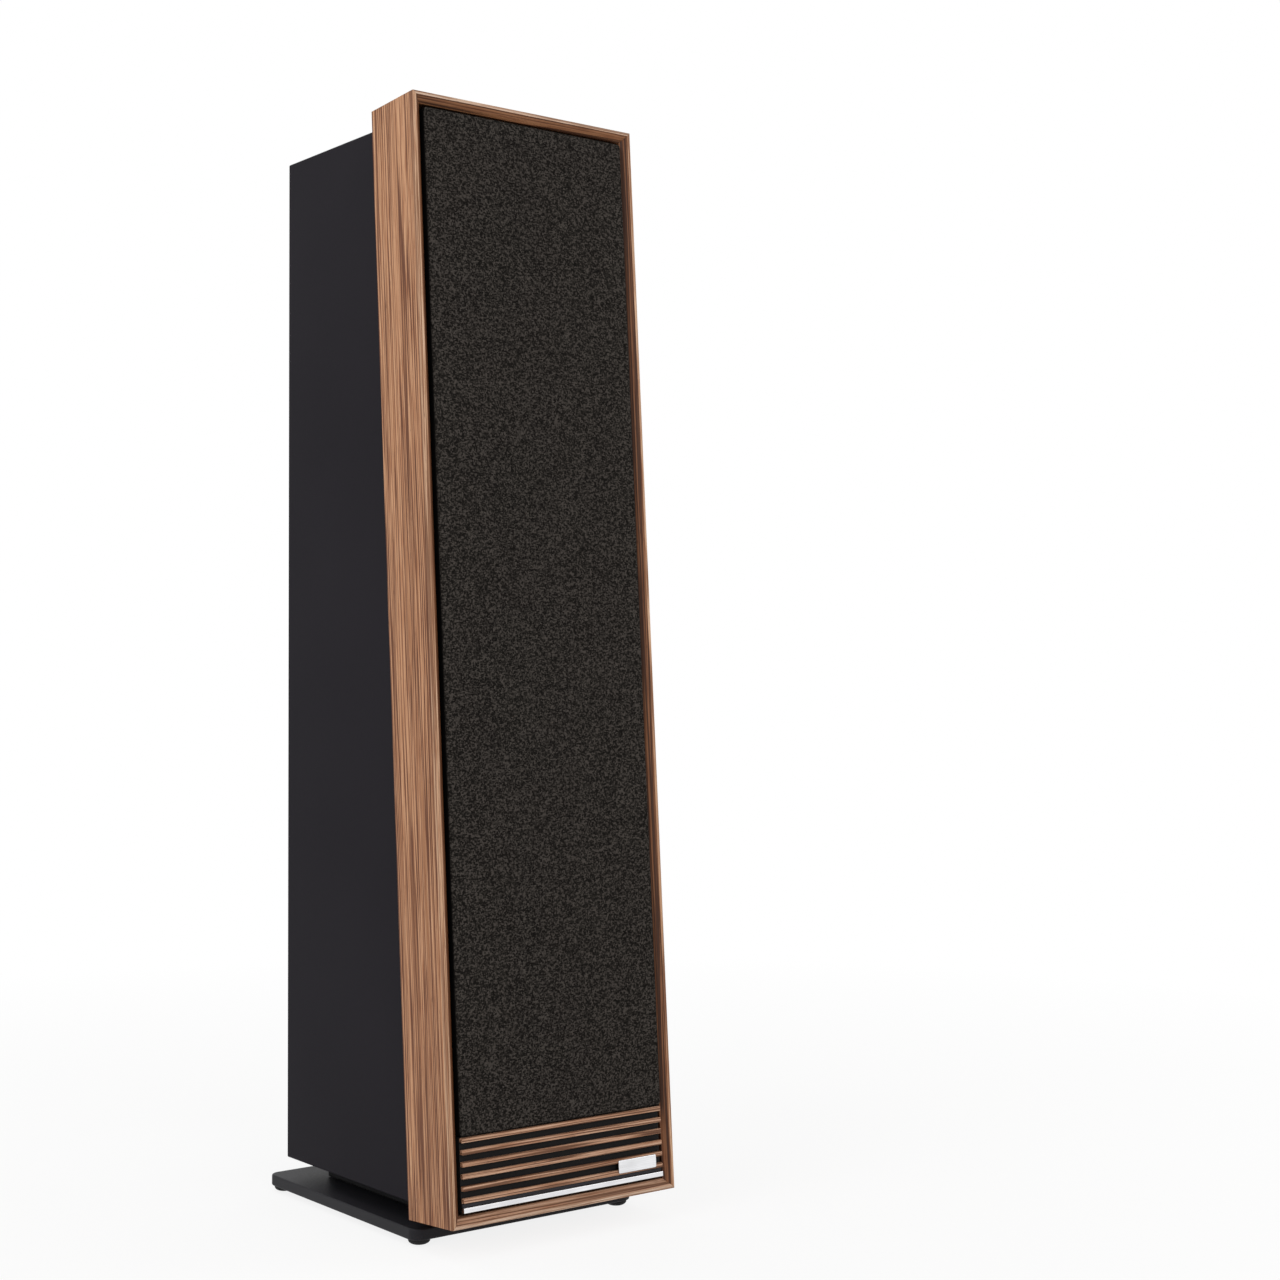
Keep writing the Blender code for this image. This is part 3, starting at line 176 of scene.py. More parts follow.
def rear_axes(node: str) -> Matrix:
    """Give axes on the rear panel's face at a node's centre, Z outward.

    Args:
        node: CAD node that is centred on the axis.

    Returns:
        Matrix from the node's axes to the world.
    """
    low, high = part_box(node)
    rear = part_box("cabinet_rear")[1][1]
    centre = ((low[0] + high[0]) / 2, rear, (low[2] + high[2]) / 2)
    return Matrix.Translation(centre) @ Matrix.Rotation(-QUARTER, 4, "X")


def half_width(node: str) -> float:
    """Give half of a node's width, which is a turned node's radius."""
    low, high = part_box(node)
    return (high[0] - low[0]) / 2


def linear(code: str) -> tuple[float, float, float, float]:
    """Turn an sRGB hex colour into linear light.

    Args:
        code: Six hex digits.

    Returns:
        Linear red, green and blue, with an alpha of 1.
    """
    parts = [int(code[n : n + 2], 16) / 255 for n in (0, 2, 4)]
    light = [p / 12.92 if p <= 0.04045 else ((p + 0.055) / 1.055) ** 2.4 for p in parts]
    return (light[0], light[1], light[2], 1.0)


def add_node(
    tree: Tree,
    kind: str,
    inputs: dict[str | int, object] | None = None,
    stops: Sequence[tuple[float, str]] = (),
    **settings: object,
) -> Node:
    """Add a shader node with its settings and links.

    Args:
        tree: Node tree that takes the node.
        kind: Node type, without its common prefix.
        inputs: Socket name or number to a value, or to the socket or node that feeds it.
        stops: Places and hex colours of a colour ramp.
        settings: Properties of the node itself.

    Returns:
        The new node.
    """
    node = tree.nodes.new(f"ShaderNode{kind}")
    for key, value in settings.items():
        setattr(node, key, value)
    for key, value in (inputs or {}).items():
        if isinstance(value, Node):
            value = value.outputs[0]
        if isinstance(value, Socket):
            tree.links.new(value, node.inputs[key])
        else:
            node.inputs[key].default_value = value
    if stops:
        elements = node.color_ramp.elements
        elements.remove(elements[1])
        elements[0].position = stops[0][0]
        elements[0].color = linear(stops[0][1])
        for place, code in stops[1:]:
            elements.new(place).color = linear(code)
    return node


def front_coordinates(tree: Tree) -> Socket:
    """Give a surface's own coordinates in the leaning front's axes.

    Args:
        tree: Node tree of the finish.

    Returns:
        Vector socket, in metres.
    """
    place = add_node(tree, "TexCoord").outputs["Object"]
    inputs = {"Vector": place, "Rotation": (FRONT.lean, 0, 0)}
    return add_node(tree, "Mapping", inputs).outputs[0]


def sized(tree: Tree, vector: Socket, cell_mm: Sizes) -> Socket:
    """Scale coordinates so that one cell of a pattern has a real size.

    Args:
        tree: Node tree of the finish.
        vector: Coordinates in metres.
        cell_mm: Size of the cell along X, U and S, in millimetres.

    Returns:
        Vector socket, in cells.
    """
    scale = tuple(1 / (size * MM) for size in cell_mm)
    return add_node(tree, "VectorMath", {0: vector, 1: scale}, operation="MULTIPLY").outputs[0]


def lay_surface(
    tree: Tree,
    colour: Socket,
    roughness: tuple[Node, Span, Span],
    height: Node | Socket,
    relief_mm: float,
    constants: dict[str, float],
) -> Node:
    """Close a finish into one surface with its roughness and relief.

    Args:
        tree: Node tree of the finish.
        colour: Colour socket.
        roughness: Pattern that it follows, the pattern's span and the roughness over it.
        height: Relief, from 0 to 1.
        relief_mm: Depth of the relief in millimetres.
        constants: Shader values that hold all over the surface.

    Returns:
        The shader node.
    """
    pattern, found, wanted = roughness
    spans = zip(("From Min", "From Max", "To Min", "To Max"), found + wanted)
    inputs = {"Base Color": colour, **constants}
    inputs["Roughness"] = add_node(tree, "MapRange", {"Value": pattern, **dict(spans)})
    inputs["Normal"] = add_node(tree, "Bump", {"Height": height, "Distance": relief_mm * MM})
    return add_node(tree, "BsdfPrincipled", inputs)


class GrainAxis(Enum):
    """Direction of a veneer's grain, as the axis along which its figure is long."""

    UP_THE_SLOPE = 2
    ACROSS = 0


@dataclass(frozen=True)
class Finish:
    """A surface of the object; each kind below draws its own nodes."""

    name: str

    def draw(self, tree: Tree) -> Node:
        """Draw the nodes and give the shader."""
        raise NotImplementedError

    def material(self) -> bpy.types.Material:
        """Give the finish's material, drawn when it is first asked for.

        Returns:
            The material.
        """
        known = bpy.data.materials.get(self.name)
        if known is not None:
            return known
        material = bpy.data.materials.new(self.name)
        material.use_nodes = True
        tree = material.node_tree
        tree.nodes.clear()
        add_node(tree, "OutputMaterial", {"Surface": self.draw(tree)})
        return material

    def cover(self, piece: Piece) -> None:
        """Put the finish on a piece."""
        piece.data.materials.clear()
        piece.data.materials.append(self.material())


@dataclass(frozen=True)
class Grained(Finish):
    """A coated, moulded, cast or pressed surface with a grain and slow clouds."""

    base: str
    fleck: str
    grain_mm: Sizes
    roughness: Span
    relief_mm: float
    fleck_span: Span = (0.45, 0.70)
    cloud_mm: float = 60.0
    cloud_shade: str = "E6E6E6"
    cloud_span: Span = (0.35, 0.62)
    metallic: float = 0.0
    specular: float = 0.5

    def draw(self, tree: Tree) -> Node:
        """Draw grain, clouds, roughness and relief.

        Args:
            tree: Node tree of the finish.

        Returns:
            The shader node.
        """
        place = front_coordinates(tree)
        cell = sized(tree, place, self.grain_mm)
        grain = add_node(tree, "TexNoise", {"Vector": cell, "Scale": 1, "Detail": 3})
        stops = tuple(zip(self.fleck_span, (self.base, self.fleck)))
        flecks = add_node(tree, "ValToRGB", {"Fac": grain}, stops)
        cell = sized(tree, place, (self.cloud_mm,) * 3)
        cloud = add_node(tree, "TexNoise", {"Vector": cell, "Scale": 1, "Detail": 2})
        stops = tuple(zip(self.cloud_span, (self.cloud_shade, WHITE)))
        shade = add_node(tree, "ValToRGB", {"Fac": cloud}, stops)
        colour = add_node(tree, "Mix", {0: 1.0, 6: flecks, 7: shade}, **MULTIPLY)
        rough = (grain, NOISE_SPAN, self.roughness)
        constants = {"Metallic": self.metallic, "Specular IOR Level": self.specular}
        return lay_surface(tree, colour.outputs[2], rough, grain, self.relief_mm, constants)


# Places of a veneer's tones over its figure: three dark lines between paler bands.
FIGURE = (
    (0.330, "middle"), (0.380, "light"), (0.400, "dark"), (0.425, "dark"),
    (0.445, "light"), (0.475, "pale"), (0.488, "middle"), (0.498, "dark"),
    (0.518, "dark"), (0.532, "light"), (0.565, "pale"), (0.588, "middle"),
    (0.604, "dark"), (0.628, "dark"), (0.650, "light"), (0.700, "pale"),
)
# Shades of the fibre, which the tones are multiplied by.
STREAKS = ((0.32, "C4A894"), (0.52, "F4EEEA"), (0.70, WHITE))


@dataclass(frozen=True)
class SlicedVeneer(Finish):
    """Quarter-sliced veneer: straight wandering lines, fine fibre and open pores."""

    pale: str = "CFA07B"
    light: str = "C0906B"
    middle: str = "A77651"
    dark: str = "6A3D21"
    pore: str = "5A331B"
    axis: GrainAxis = GrainAxis.UP_THE_SLOPE
    figure_mm: Span = (8.0, 900.0)
    figure_detail: float = 2.5
    figure_roughness: float = 0.55
    wander_mm: float = 3.5
    drift_mm: Span = (45.0, 260.0)
    # Fibres are about 0.1 mm wide and pores 0.2 mm; both are drawn coarser so that they show.
    fibre_mm: Span = (0.9, 34.0)
    pore_mm: Span = (0.8, 9.0)
    pore_span: Span = (0.66, 0.78)
    pore_share: float = 0.7
    roughness: Span = (0.62, 0.48)
    relief_mm: float = 0.06
    specular: float = 0.3

    def grained(self, tree: Tree, vector: Socket, cell_mm: Span) -> Socket:
        """Scale coordinates to cells that are long along the grain.

        Args:
            tree: Node tree of the finish.
            vector: Coordinates in metres.
            cell_mm: Width across the grain and length along it, in millimetres.

        Returns:
            Vector socket, in cells.
        """
        width, length = cell_mm
        cell = [length if axis == self.axis.value else width for axis in range(3)]
        return sized(tree, vector, (cell[0], cell[1], cell[2]))

    def draw(self, tree: Tree) -> Node:
        """Draw the figure, its fibre and its pores.

        Args:
            tree: Node tree of the finish.

        Returns:
            The shader node.
        """
        place = front_coordinates(tree)
        slow = self.grained(tree, place, self.drift_mm)
        drift = add_node(tree, "TexNoise", {"Vector": slow, "Scale": 1, "Detail": 2})
        inputs = {0: drift.outputs[1], 1: (self.wander_mm * MM,) * 3, 2: place}
        wander = add_node(tree, "VectorMath", inputs, operation="MULTIPLY_ADD").outputs[0]
        lines = self.grained(tree, wander, self.figure_mm)
        inputs = {"Vector": lines, "Scale": 1, "Detail": self.figure_detail}
        inputs["Roughness"] = self.figure_roughness
        figure = add_node(tree, "TexNoise", inputs)
        stops = tuple((at, getattr(self, tone)) for at, tone in FIGURE)
        bands = add_node(tree, "ValToRGB", {"Fac": figure}, stops)
        thin = self.grained(tree, wander, self.fibre_mm)
        fibre = add_node(tree, "TexNoise", {"Vector": thin, "Scale": 1, "Detail": 3})
        streak = add_node(tree, "ValToRGB", {"Fac": fibre}, STREAKS)
        toned = add_node(tree, "Mix", {0: 1.0, 6: bands, 7: streak}, **MULTIPLY).outputs[2]
        dashes = self.grained(tree, wander, self.pore_mm)
        pores = add_node(tree, "TexNoise", {"Vector": dashes, "Scale": 1, "Detail": 1})
        start, full = self.pore_span
        inputs = {"Value": pores, "From Min": start, "From Max": full, "To Max": self.pore_share}
        share = add_node(tree, "MapRange", inputs)
        inputs = {0: share, 6: toned, 7: linear(self.pore)}
        colour = add_node(tree, "Mix", inputs, data_type="RGBA").outputs[2]
        relief = add_node(tree, "Math", {0: fibre, 1: share}, operation="SUBTRACT")
        rough = (fibre, NOISE_SPAN, self.roughness)
        constants = {"Specular IOR Level": self.specular}
        return lay_surface(tree, colour, rough, relief, self.relief_mm, constants)


@dataclass(frozen=True)
class WovenCloth(Finish):
    """Plain-woven cloth of mixed dark and light yarn."""

    dark: str = "13110F"
    ground: str = "272421"
    light: str = "443F3B"
    # Threads are about 0.5 mm, and so are the yarn's flecks; both are drawn coarser to show.
    thread_mm: float = 1.5
    fleck_mm: float = 1.0
    weft_stretch: float = 2.0
    warp_stretch: float = 1.5
    yarn_span: Span = (0.4, 1.6)
    tones_at: Sizes = (0.22, 0.50, 0.80)
    unevenness: float = 0.6
    roughness: Span = (0.96, 0.84)
    relief_mm: float = 0.08
    specular: float = 0.05
    # Depths behind the front over which painted shade darkens the cloth, and the colour of that shade.
    painted_shade_m: Span | None = None
    ink: str = "050505"

    def draw(self, tree: Tree) -> Node:
        """Draw yarn flecks over the crossing threads.

        Args:
            tree: Node tree of the finish.

        Returns:
            The shader node.
        """
        place = front_coordinates(tree)
        size = self.fleck_mm
        weft = (size * self.weft_stretch, size, size)
        warp = (size, size, size * self.warp_stretch)
        yarns = []
        for cell in (weft, warp):
            inputs = {"Vector": sized(tree, place, cell), "Scale": 1}
            yarns.append(add_node(tree, "TexVoronoi", inputs).outputs["Color"])
        yarn = add_node(tree, "Math", {0: yarns[0], 1: yarns[1]}, operation="ADD")
        start, end = self.yarn_span
        flecks = add_node(tree, "MapRange", {"Value": yarn, "From Min": start, "From Max": end})
        stops = tuple(zip(self.tones_at, (self.dark, self.ground, self.light)))
        colour = add_node(tree, "ValToRGB", {"Fac": flecks}, stops).outputs[0]
        # Painted shade: the cloth fades to near black between two depths, where its turned-back edge sits in
        # the shadow gap.
        if self.painted_shade_m is not None:
            start, end = self.painted_shade_m
            depth = add_node(tree, "SeparateXYZ", {0: place}).outputs[1]
            ink = add_node(tree, "MapRange", {"Value": depth, "From Min": start, "From Max": end})
            inputs = {0: ink, 6: colour, 7: linear(self.ink)}
            colour = add_node(tree, "Mix", inputs, data_type="RGBA").outputs[2]
        weave = sized(tree, place, (self.thread_mm * WAVE_RADIANS / math.tau,) * 3)
        inputs = {"Vector": weave, "Scale": 1, "Distortion": self.unevenness}
        waves = [add_node(tree, "TexWave", inputs, bands_direction=way).outputs[1] for way in "XZ"]
        crossing = add_node(tree, "Math", {0: waves[0], 1: waves[1]}, operation="MULTIPLY")
        height = add_node(tree, "Math", {0: crossing, 1: flecks}, operation="ADD")
        rough = (flecks, UNIT_SPAN, self.roughness)
        constants = {"Specular IOR Level": self.specular}
        return lay_surface(tree, colour, rough, height, self.relief_mm, constants)


@dataclass(frozen=True)
class Layered(Finish):
    """Stacked materials along an axis of the front, such as steel and ferrite."""

    edges_m: Span
    lower: str = "1C1C1E"
    upper: str = "8E8F92"
    axis: int = 1
    wind_mm: float = 0.0
    grain_mm: float = 1.2
    grain_shade: str = "C8C8C8"
    grain_span: Span = (0.35, 0.65)
    metallic: float = 0.0
    roughness: Span = (0.4, 0.6)
    relief_mm: float = 0.08

    def draw(self, tree: Tree) -> Node:
        """Draw the two materials, their grain and any winding.

        Args:
            tree: Node tree of the finish.

        Returns:
            The shader node.
        """
        place = front_coordinates(tree)
        split = add_node(tree, "SeparateXYZ", {0: place}).outputs[self.axis]
        # The object's own coordinates start at the world's origin, so the edges do too.
        sides = [
            add_node(tree, "Math", {0: split, 1: edge}, operation=test)
            for edge, test in zip(self.edges_m, ("GREATER_THAN", "LESS_THAN"))
        ]
        inside = add_node(tree, "Math", {0: sides[0], 1: sides[1]}, operation="MULTIPLY")
        cell = sized(tree, place, (self.grain_mm,) * 3)
        grain = add_node(tree, "TexNoise", {"Vector": cell, "Scale": 1, "Detail": 3})
        stops = tuple(zip(self.grain_span, (self.grain_shade, WHITE)))
        tone = add_node(tree, "ValToRGB", {"Fac": grain}, stops)
        inputs = {0: inside, 6: linear(self.upper), 7: linear(self.lower)}
        choice = add_node(tree, "Mix", inputs, data_type="RGBA").outputs[2]
        colour = add_node(tree, "Mix", {0: 1.0, 6: choice, 7: tone}, **MULTIPLY).outputs[2]
        height = grain
        if self.wind_mm:
            pitch = sized(tree, place, (self.wind_mm * WAVE_RADIANS / math.tau,) * 3)
            inputs = {"Vector": pitch, "Scale": 1}
            turns = add_node(tree, "TexWave", inputs, bands_direction="XYZ"[self.axis])
            height = turns.outputs[1]
        rough = (grain, UNIT_SPAN, self.roughness)
        constants = {"Metallic": self.metallic}
        return lay_surface(tree, colour, rough, height, self.relief_mm, constants)


# Walnut, quarter-sliced and oiled: warm brown with straight dark lines and a dull satin.
WALNUT_UPRIGHT = SlicedVeneer("walnut_veneer_oiled_upright")
WALNUT_LEVEL = SlicedVeneer("walnut_veneer_oiled_level", axis=GrainAxis.ACROSS)
# Walnut, sawn and oiled thinly: the greyer brown of the slats and the upward slope.
WALNUT_SAWN = SlicedVeneer(
    "walnut_sawn_oiled_level",
    "CDA88E", "B88F73", "A17A5F", "6C4932", "583A28", GrainAxis.ACROSS,
)
# Walnut lipping, oiled: the lighter front edge of the lip, its greyer paleness partly a painted highlight
# along the arris.
LIPPING_UPRIGHT = SlicedVeneer(
    "walnut_lipping_part_painted_highlight_upright", "D6B497", "C49C7C", "B48C6C", "8A6246", "6A4A34"
)
# Walnut lipping across the top and bottom: paler and greyer, a painted highlight along the front edge.
LIPPING_LEVEL = SlicedVeneer(
    "walnut_lipping_painted_highlight_level",
    "D8C0AC", "C8AC95", "B6977F", "957660", "7A5E4B", GrainAxis.ACROSS,
)
# Walnut, oiled and darkened as painted shade: the chamfer that turns in towards the grille, on the uprights
# and the top.
SHADED_CHAMFER_UPRIGHT = SlicedVeneer(
    "walnut_oiled_painted_shade_upright", "946545", "7E5234", "6B4328", "432716", "311C0F"
)
SHADED_CHAMFER_LEVEL = SlicedVeneer(
    "walnut_oiled_painted_shade_level",
    "A0714E", "865A39", "72482B", "4A2B15", "38200F", GrainAxis.ACROSS,
)
# Charcoal lacquer sprayed satin on board: even, nearly black, with a faint orange peel.
LACQUER = Grained(
    "charcoal_lacquer_sprayed_satin", "19161C", "1C191F", (2.4,) * 3, (0.44, 0.52), 0.012,
    cloud_mm=240, cloud_shade="E4E2E8", specular=0.05,
)
# Steel plate, powder-coated: charcoal with a fine pebbled skin, drawn at 1.2 mm.
POWDER_COAT = Grained(
    "charcoal_powder_coat_fine", "1B1A1E", "232227", (1.2,) * 3, (0.46, 0.58), 0.03,
    cloud_mm=90, specular=0.18,
)
# Painted board in the shade under the cabinet: dull black with the grain of a paint roller.
RISER_PAINT = Grained(
    "black_paint_rolled_dull", "131314", "1B1B1D", (1.6,) * 3, (0.62, 0.74), 0.04, specular=0.2
)
# Moulded rubber: deep black, dull, with a slight bloom.
FOOT_RUBBER = Grained(
    "black_rubber_moulded", "0F0F10", "19191A", (1.4,) * 3, (0.66, 0.8), 0.03, specular=0.3
)
# Heather polyester cloth, plain-woven: charcoal flecks, turned near black by painted shade where its edge
# turns back into the gap.
GRILLE_CLOTH = WovenCloth(
    "heather_polyester_plain_woven", painted_shade_m=FRONT.own_depths("grille_cloth", 0.0003, 0.0016)
)
# Fibreboard stained black: dull, with wood-fibre flecks drawn at 1.5 mm.
BLACK_BOARD = Grained(
    "black_fibreboard_stained", "121111", "1F1D1C", (1.5,) * 3, (0.7, 0.82), 0.04,
    fleck_span=(0.5, 0.70), specular=0.2,
)
# Aluminium, brushed along its length and clear-anodised: bright silver with long hairlines.
BRIGHT_ALUMINIUM = Grained(
    "aluminium_brushed_clear_anodised", "E6E6E8", "F2F2F4", (26, 0.7, 0.7), (0.26, 0.38), 0.012,
    cloud_mm=30, cloud_shade="F2F2F2", metallic=1.0,
)
# Aluminium, grey-anodised: the dull channel that the bright strip is set in; its grey is partly a painted
# reflection of the strip on dark board.
GREY_REFLECTION_ALUMINIUM = Grained(
    "aluminium_grey_part_painted_reflection", "2C2B2F", "353438", (20, 0.8, 0.8), (0.45, 0.58), 0.01,
    cloud_mm=40, specular=0.15,
)
# Die-cast aluminium, painted black: a faint sandy skin.
CAST_BASKET = Grained(
    "aluminium_die_cast_painted_black", "17171A", "222226", (1.3,) * 3, (0.48, 0.62), 0.05,
    specular=0.4,
)
# Doped paper pulp, pressed: charcoal felt of short fibres, slightly shiny from the dope.
CONE_PAPER = Grained(
    "paper_pulp_pressed_doped", "1D1D20", "35353A", (2.2, 0.9, 0.9), (0.5, 0.66), 0.08,
    fleck_span=(0.48, 0.74), cloud_mm=18, specular=0.4,
)
# Butyl rubber, moulded: smooth soft black with a low shine.
ROLL_RUBBER = Grained(
    "butyl_rubber_moulded_smooth", "101011", "161617", (3, 3, 3), (0.42, 0.52), 0.015, specular=0.4
)
# Silk, woven and coated: black, with the threads just showing through the coat.
COATED_SILK = WovenCloth(
    "silk_woven_coated", "0E0E0F", "17171A", "24242A", 0.8, 0.7, relief_mm=0.05, specular=0.45
)
# Cotton, woven and stiffened with resin: amber corrugated cloth.
RESIN_COTTON = WovenCloth(
    "cotton_woven_resin_stiffened", "7A5526", "A87B3E", "C79C5C", 1.0, 0.9, relief_mm=0.12
)
# ABS, moulded with a spark-eroded texture: black, or red on the live knob.
BLACK_ABS = Grained(
    "abs_moulded_textured_black", "151517", "1D1D20", (0.9,) * 3, (0.46, 0.58), 0.03
)
RED_ABS = Grained("abs_moulded_textured_red", "9A1416", "B01C1D", (0.9,) * 3, (0.34, 0.46), 0.02)
# Epoxy ink, screen-printed: dull off-white signs with a faint mesh of the screen.
SIGN_INK = Grained("epoxy_ink_screen_printed", "BDBDBA", "C9C9C6", (0.6,) * 3, (0.55, 0.66), 0.01)
# Brass, turned and gold-plated: warm bright metal with fine turning rings.
GOLD_BRASS = Grained(
    "brass_turned_gold_plated", "E0B868", "EBC981", (6, 0.5, 6), (0.2, 0.32), 0.008,
    cloud_mm=9, metallic=1.0,
)
# Steel, blackened in oil: dark grey screws with a low metal shine.
BLACK_STEEL = Grained(
    "steel_blackened_oiled", "2A2A2C", "39393C", (0.8,) * 3, (0.34, 0.48), 0.01, metallic=1.0
)
# Nickel on pressed steel: pale grey discs with a soft mirror.
NICKEL = Grained(
    "steel_pressed_nickel_plated", "B4B2AC", "C2C0BA", (0.8,) * 3, (0.22, 0.34), 0.006,
    metallic=1.0,
)
# Copper wire, wound close and varnished: red-brown turns, drawn 1 mm apart so that they show.
VOICE_COIL = Layered(
    "copper_wire_wound_varnished", (-0.062, 0.0), "A4562C", "B5B6B8",
    wind_mm=1.0, metallic=0.8, roughness=(0.28, 0.4),
)
# Circuit board with solder mask: green glass laminate, drawn with its copper and parts.
CIRCUIT_BOARD = Layered(
    "glass_laminate_solder_masked", (0.0, 0.0505), "1F4A33", "8A4A26", 2, 1.4,
    roughness=(0.35, 0.5),
)
# Vinyl, extruded on wire: dark grey sleeve with a soft shine.
WIRE_VINYL = Grained(
    "vinyl_extruded_wire_sleeve", "26262A", "303035", (1, 1, 6), (0.38, 0.5), 0.01
)


# Angles in degrees from which an edge stays sharp, and from which it is eased.
CREASE = 35.0
EASED_FROM = 40.0
# Facets of an eased edge.
EDGE_FACETS = 4


def solid(name: str, form: Form, place: Matrix, crease: float = CREASE) -> Piece:
    """Make a form into an object of the scene.

    Args:
        name: Name of the piece.
        form: Mesh under work, which is freed.
        place: Matrix from the form's axes to the world.
        crease: Angle in degrees above which an edge stays sharp.

    Returns:
        The new object.
    """
    bmesh.ops.recalc_face_normals(form, faces=form.faces[:])
    mesh = bpy.data.meshes.new(name)
    form.to_mesh(mesh)
    form.free()
    mesh.transform(place)
    mesh.shade_smooth()
    mesh.set_sharp_from_angle(angle=math.radians(crease))
    piece = bpy.data.objects.new(name, mesh)
    bpy.context.scene.collection.objects.link(piece)
    return piece


def bake(piece: Piece) -> None:
    """Turn a piece's modifiers into its mesh.

    Args:
        piece: Piece with modifiers, which are removed.
    """
    bpy.context.view_layer.update()
    view = bpy.context.evaluated_depsgraph_get()
    shaped = bpy.data.meshes.new_from_object(piece.evaluated_get(view))
    spent = piece.data
    piece.modifiers.clear()
    piece.data = shaped
    bpy.data.meshes.remove(spent)


def keep_flats(piece: Piece) -> None:
    """Bake a piece so that its flats stay flat beside its rounds."""
    piece.modifiers.new("flats", "WEIGHTED_NORMAL").keep_sharp = True
    bake(piece)


def ease(piece: Piece, radius: float, segments: int = 3) -> None:
    """Round a piece's edges and keep its flats flat.

    Args:
        piece: Piece with sharp edges.
        radius: Radius of the round, in metres.
        segments: Facets of the round.
    """
    bevel = piece.modifiers.new("ease", "BEVEL")
    bevel.width = radius
    bevel.segments = segments
    bevel.limit_method = "ANGLE"
    bevel.angle_limit = math.radians(EASED_FROM)
    keep_flats(piece)


def round_edges(form: Form, edges: list[bmesh.types.BMEdge], radius: float, segments: int) -> None:
    """Round some edges of a form.

    Args:
        form: Mesh under work.
        edges: Its edges that become round.
        radius: Radius of the round, in metres.
        segments: Facets of the round.
    """
    bmesh.ops.bevel(
        form, geom=edges, offset=radius, segments=segments, profile=0.5, affect="EDGES"
    )


def rounded_block(
    low: Sequence[float], high: Sequence[float], axis: int, radius: float, segments: int
) -> Form:
    """Give a block whose edges along one axis are round.

    Args:
        low: Lowest corner.
        high: Highest corner.
        axis: Number of the axis along which the round edges run.
        radius: Radius of the round, in metres.
        segments: Facets of the round.

    Returns:
        The form.
    """
    form = block(low, high)
    edges = []
    for edge in form.edges:
        start, end = edge.verts
        if abs(start.co[axis] - end.co[axis]) > TINY:
            edges.append(edge)
    round_edges(form, edges, radius, segments)
    return form


def cut_away(piece: Piece, tools: Sequence[Piece]) -> None:
    """Cut shapes out of a piece and remove them.

    Args:
        piece: Piece that is cut.
        tools: Closed shapes that are taken out of it.
    """
    for tool in tools:
        cutter = piece.modifiers.new(tool.name, "BOOLEAN")
        cutter.object = tool
        cutter.solver = "EXACT"
    bake(piece)
    piece.data.set_sharp_from_angle(angle=math.radians(CREASE))
    for tool in tools:
        bpy.data.objects.remove(tool)


def block(low: Sequence[float], high: Sequence[float], form: Form | None = None) -> Form:
    """Give a rectangular form between two corners.

    Args:
        low: Lowest corner.
        high: Highest corner.
        form: Mesh under work that takes the block, or none for a new one.

    Returns:
        The form.
    """
    if form is None:
        form = bmesh.new()
    for vert in bmesh.ops.create_cube(form, size=1)["verts"]:
        vert.co = Vector([high[n] if vert.co[n] > 0 else low[n] for n in range(3)])
    return form


def turn(
    form: Form,
    profile: Profile,
    steps: int = FINE_STEPS,
    place: Matrix = Matrix(),
    closed: bool = True,
    shape: Callable[[int, float], float] | None = None,
) -> None:
    """Turn a profile about Z.

    Args:
        form: Mesh under work that takes the turned body.
        profile: Radius and height of each point.
        steps: Facets around the axis.
        place: Matrix from the turned body's axes to the form's.
        closed: Whether the profile's ends join, as a ring's do.
        shape: Share of the radius by point and angle, for flutes and flats.
    """
    rings = []
    for index, (radius, height) in enumerate(profile):
        ring = []
        for step in range(steps if radius > 0 else 1):
            angle = math.tau * step / steps
            reach = radius * shape(index, angle) if shape else radius
            spot = Vector((reach * math.cos(angle), reach * math.sin(angle), height))
            ring.append(form.verts.new(place @ spot))
        rings.append(ring)
    pairs = list(zip(rings, rings[1:]))
    if closed:
        pairs.append((rings[-1], rings[0]))
    for lower, upper in pairs:
        for step in range(max(len(lower), len(upper))):
            after = step + 1
            corners = [
                lower[step % len(lower)],
                lower[after % len(lower)],
                upper[after % len(upper)],
                upper[step % len(upper)],
            ]
            form.faces.new(list(dict.fromkeys(corners)))


def turned(
    name: str,
    profile: Profile,
    place: Matrix,
    steps: int = FINE_STEPS,
    closed: bool = True,
    shape: Callable[[int, float], float] | None = None,
) -> Piece:
    """Make a turned piece.

    Args:
        name: Name of the piece.
        profile: Radius and height of each point.
        place: Matrix from the piece's axes to the world.
        steps: Facets around the axis.
        closed: Whether the profile's ends join.
        shape: Share of the radius by point and angle.

    Returns:
        The new object.
    """
    form = bmesh.new()
    turn(form, profile, steps, closed=closed, shape=shape)
    return solid(name, form, place)


def plug(name: str, radius: float, reach: float, place: Matrix) -> Piece:
    """Make the shape of a round hole.

    Args:
        name: Name of the shape.
        radius: Radius of the hole.
        reach: Distance that it goes to both sides.
        place: Matrix from the hole's axes to the world.

    Returns:
        The shape, ready to be cut away.
    """
    profile = [(0.0, -reach), (radius, -reach), (radius, reach), (0.0, reach)]
    return turned(name, profile, place, SMALL_STEPS, False)


def arc(centre: Span, radii: Span, begin: float, end: float, count: int = EDGE_FACETS) -> Profile:
    """Give points on an arc of an ellipse.

    Args:
        centre: Centre of the ellipse.
        radii: Half axes of the ellipse.
        begin: First angle, in degrees.
        end: Last angle, in degrees.
        count: Number of steps.

    Returns:
        The points, ends included.
    """
    points = []
    for step in range(count + 1):
        angle = math.radians(begin + (end - begin) * step / count)
        across = centre[0] + radii[0] * math.cos(angle)
        points.append((across, centre[1] + radii[1] * math.sin(angle)))
    return points


def hexagon(angle: float) -> float:
    """Give the share of a hexagon's corner radius at an angle."""
    return math.cos(math.pi / 6) / math.cos(angle % (math.pi / 3) - math.pi / 6)


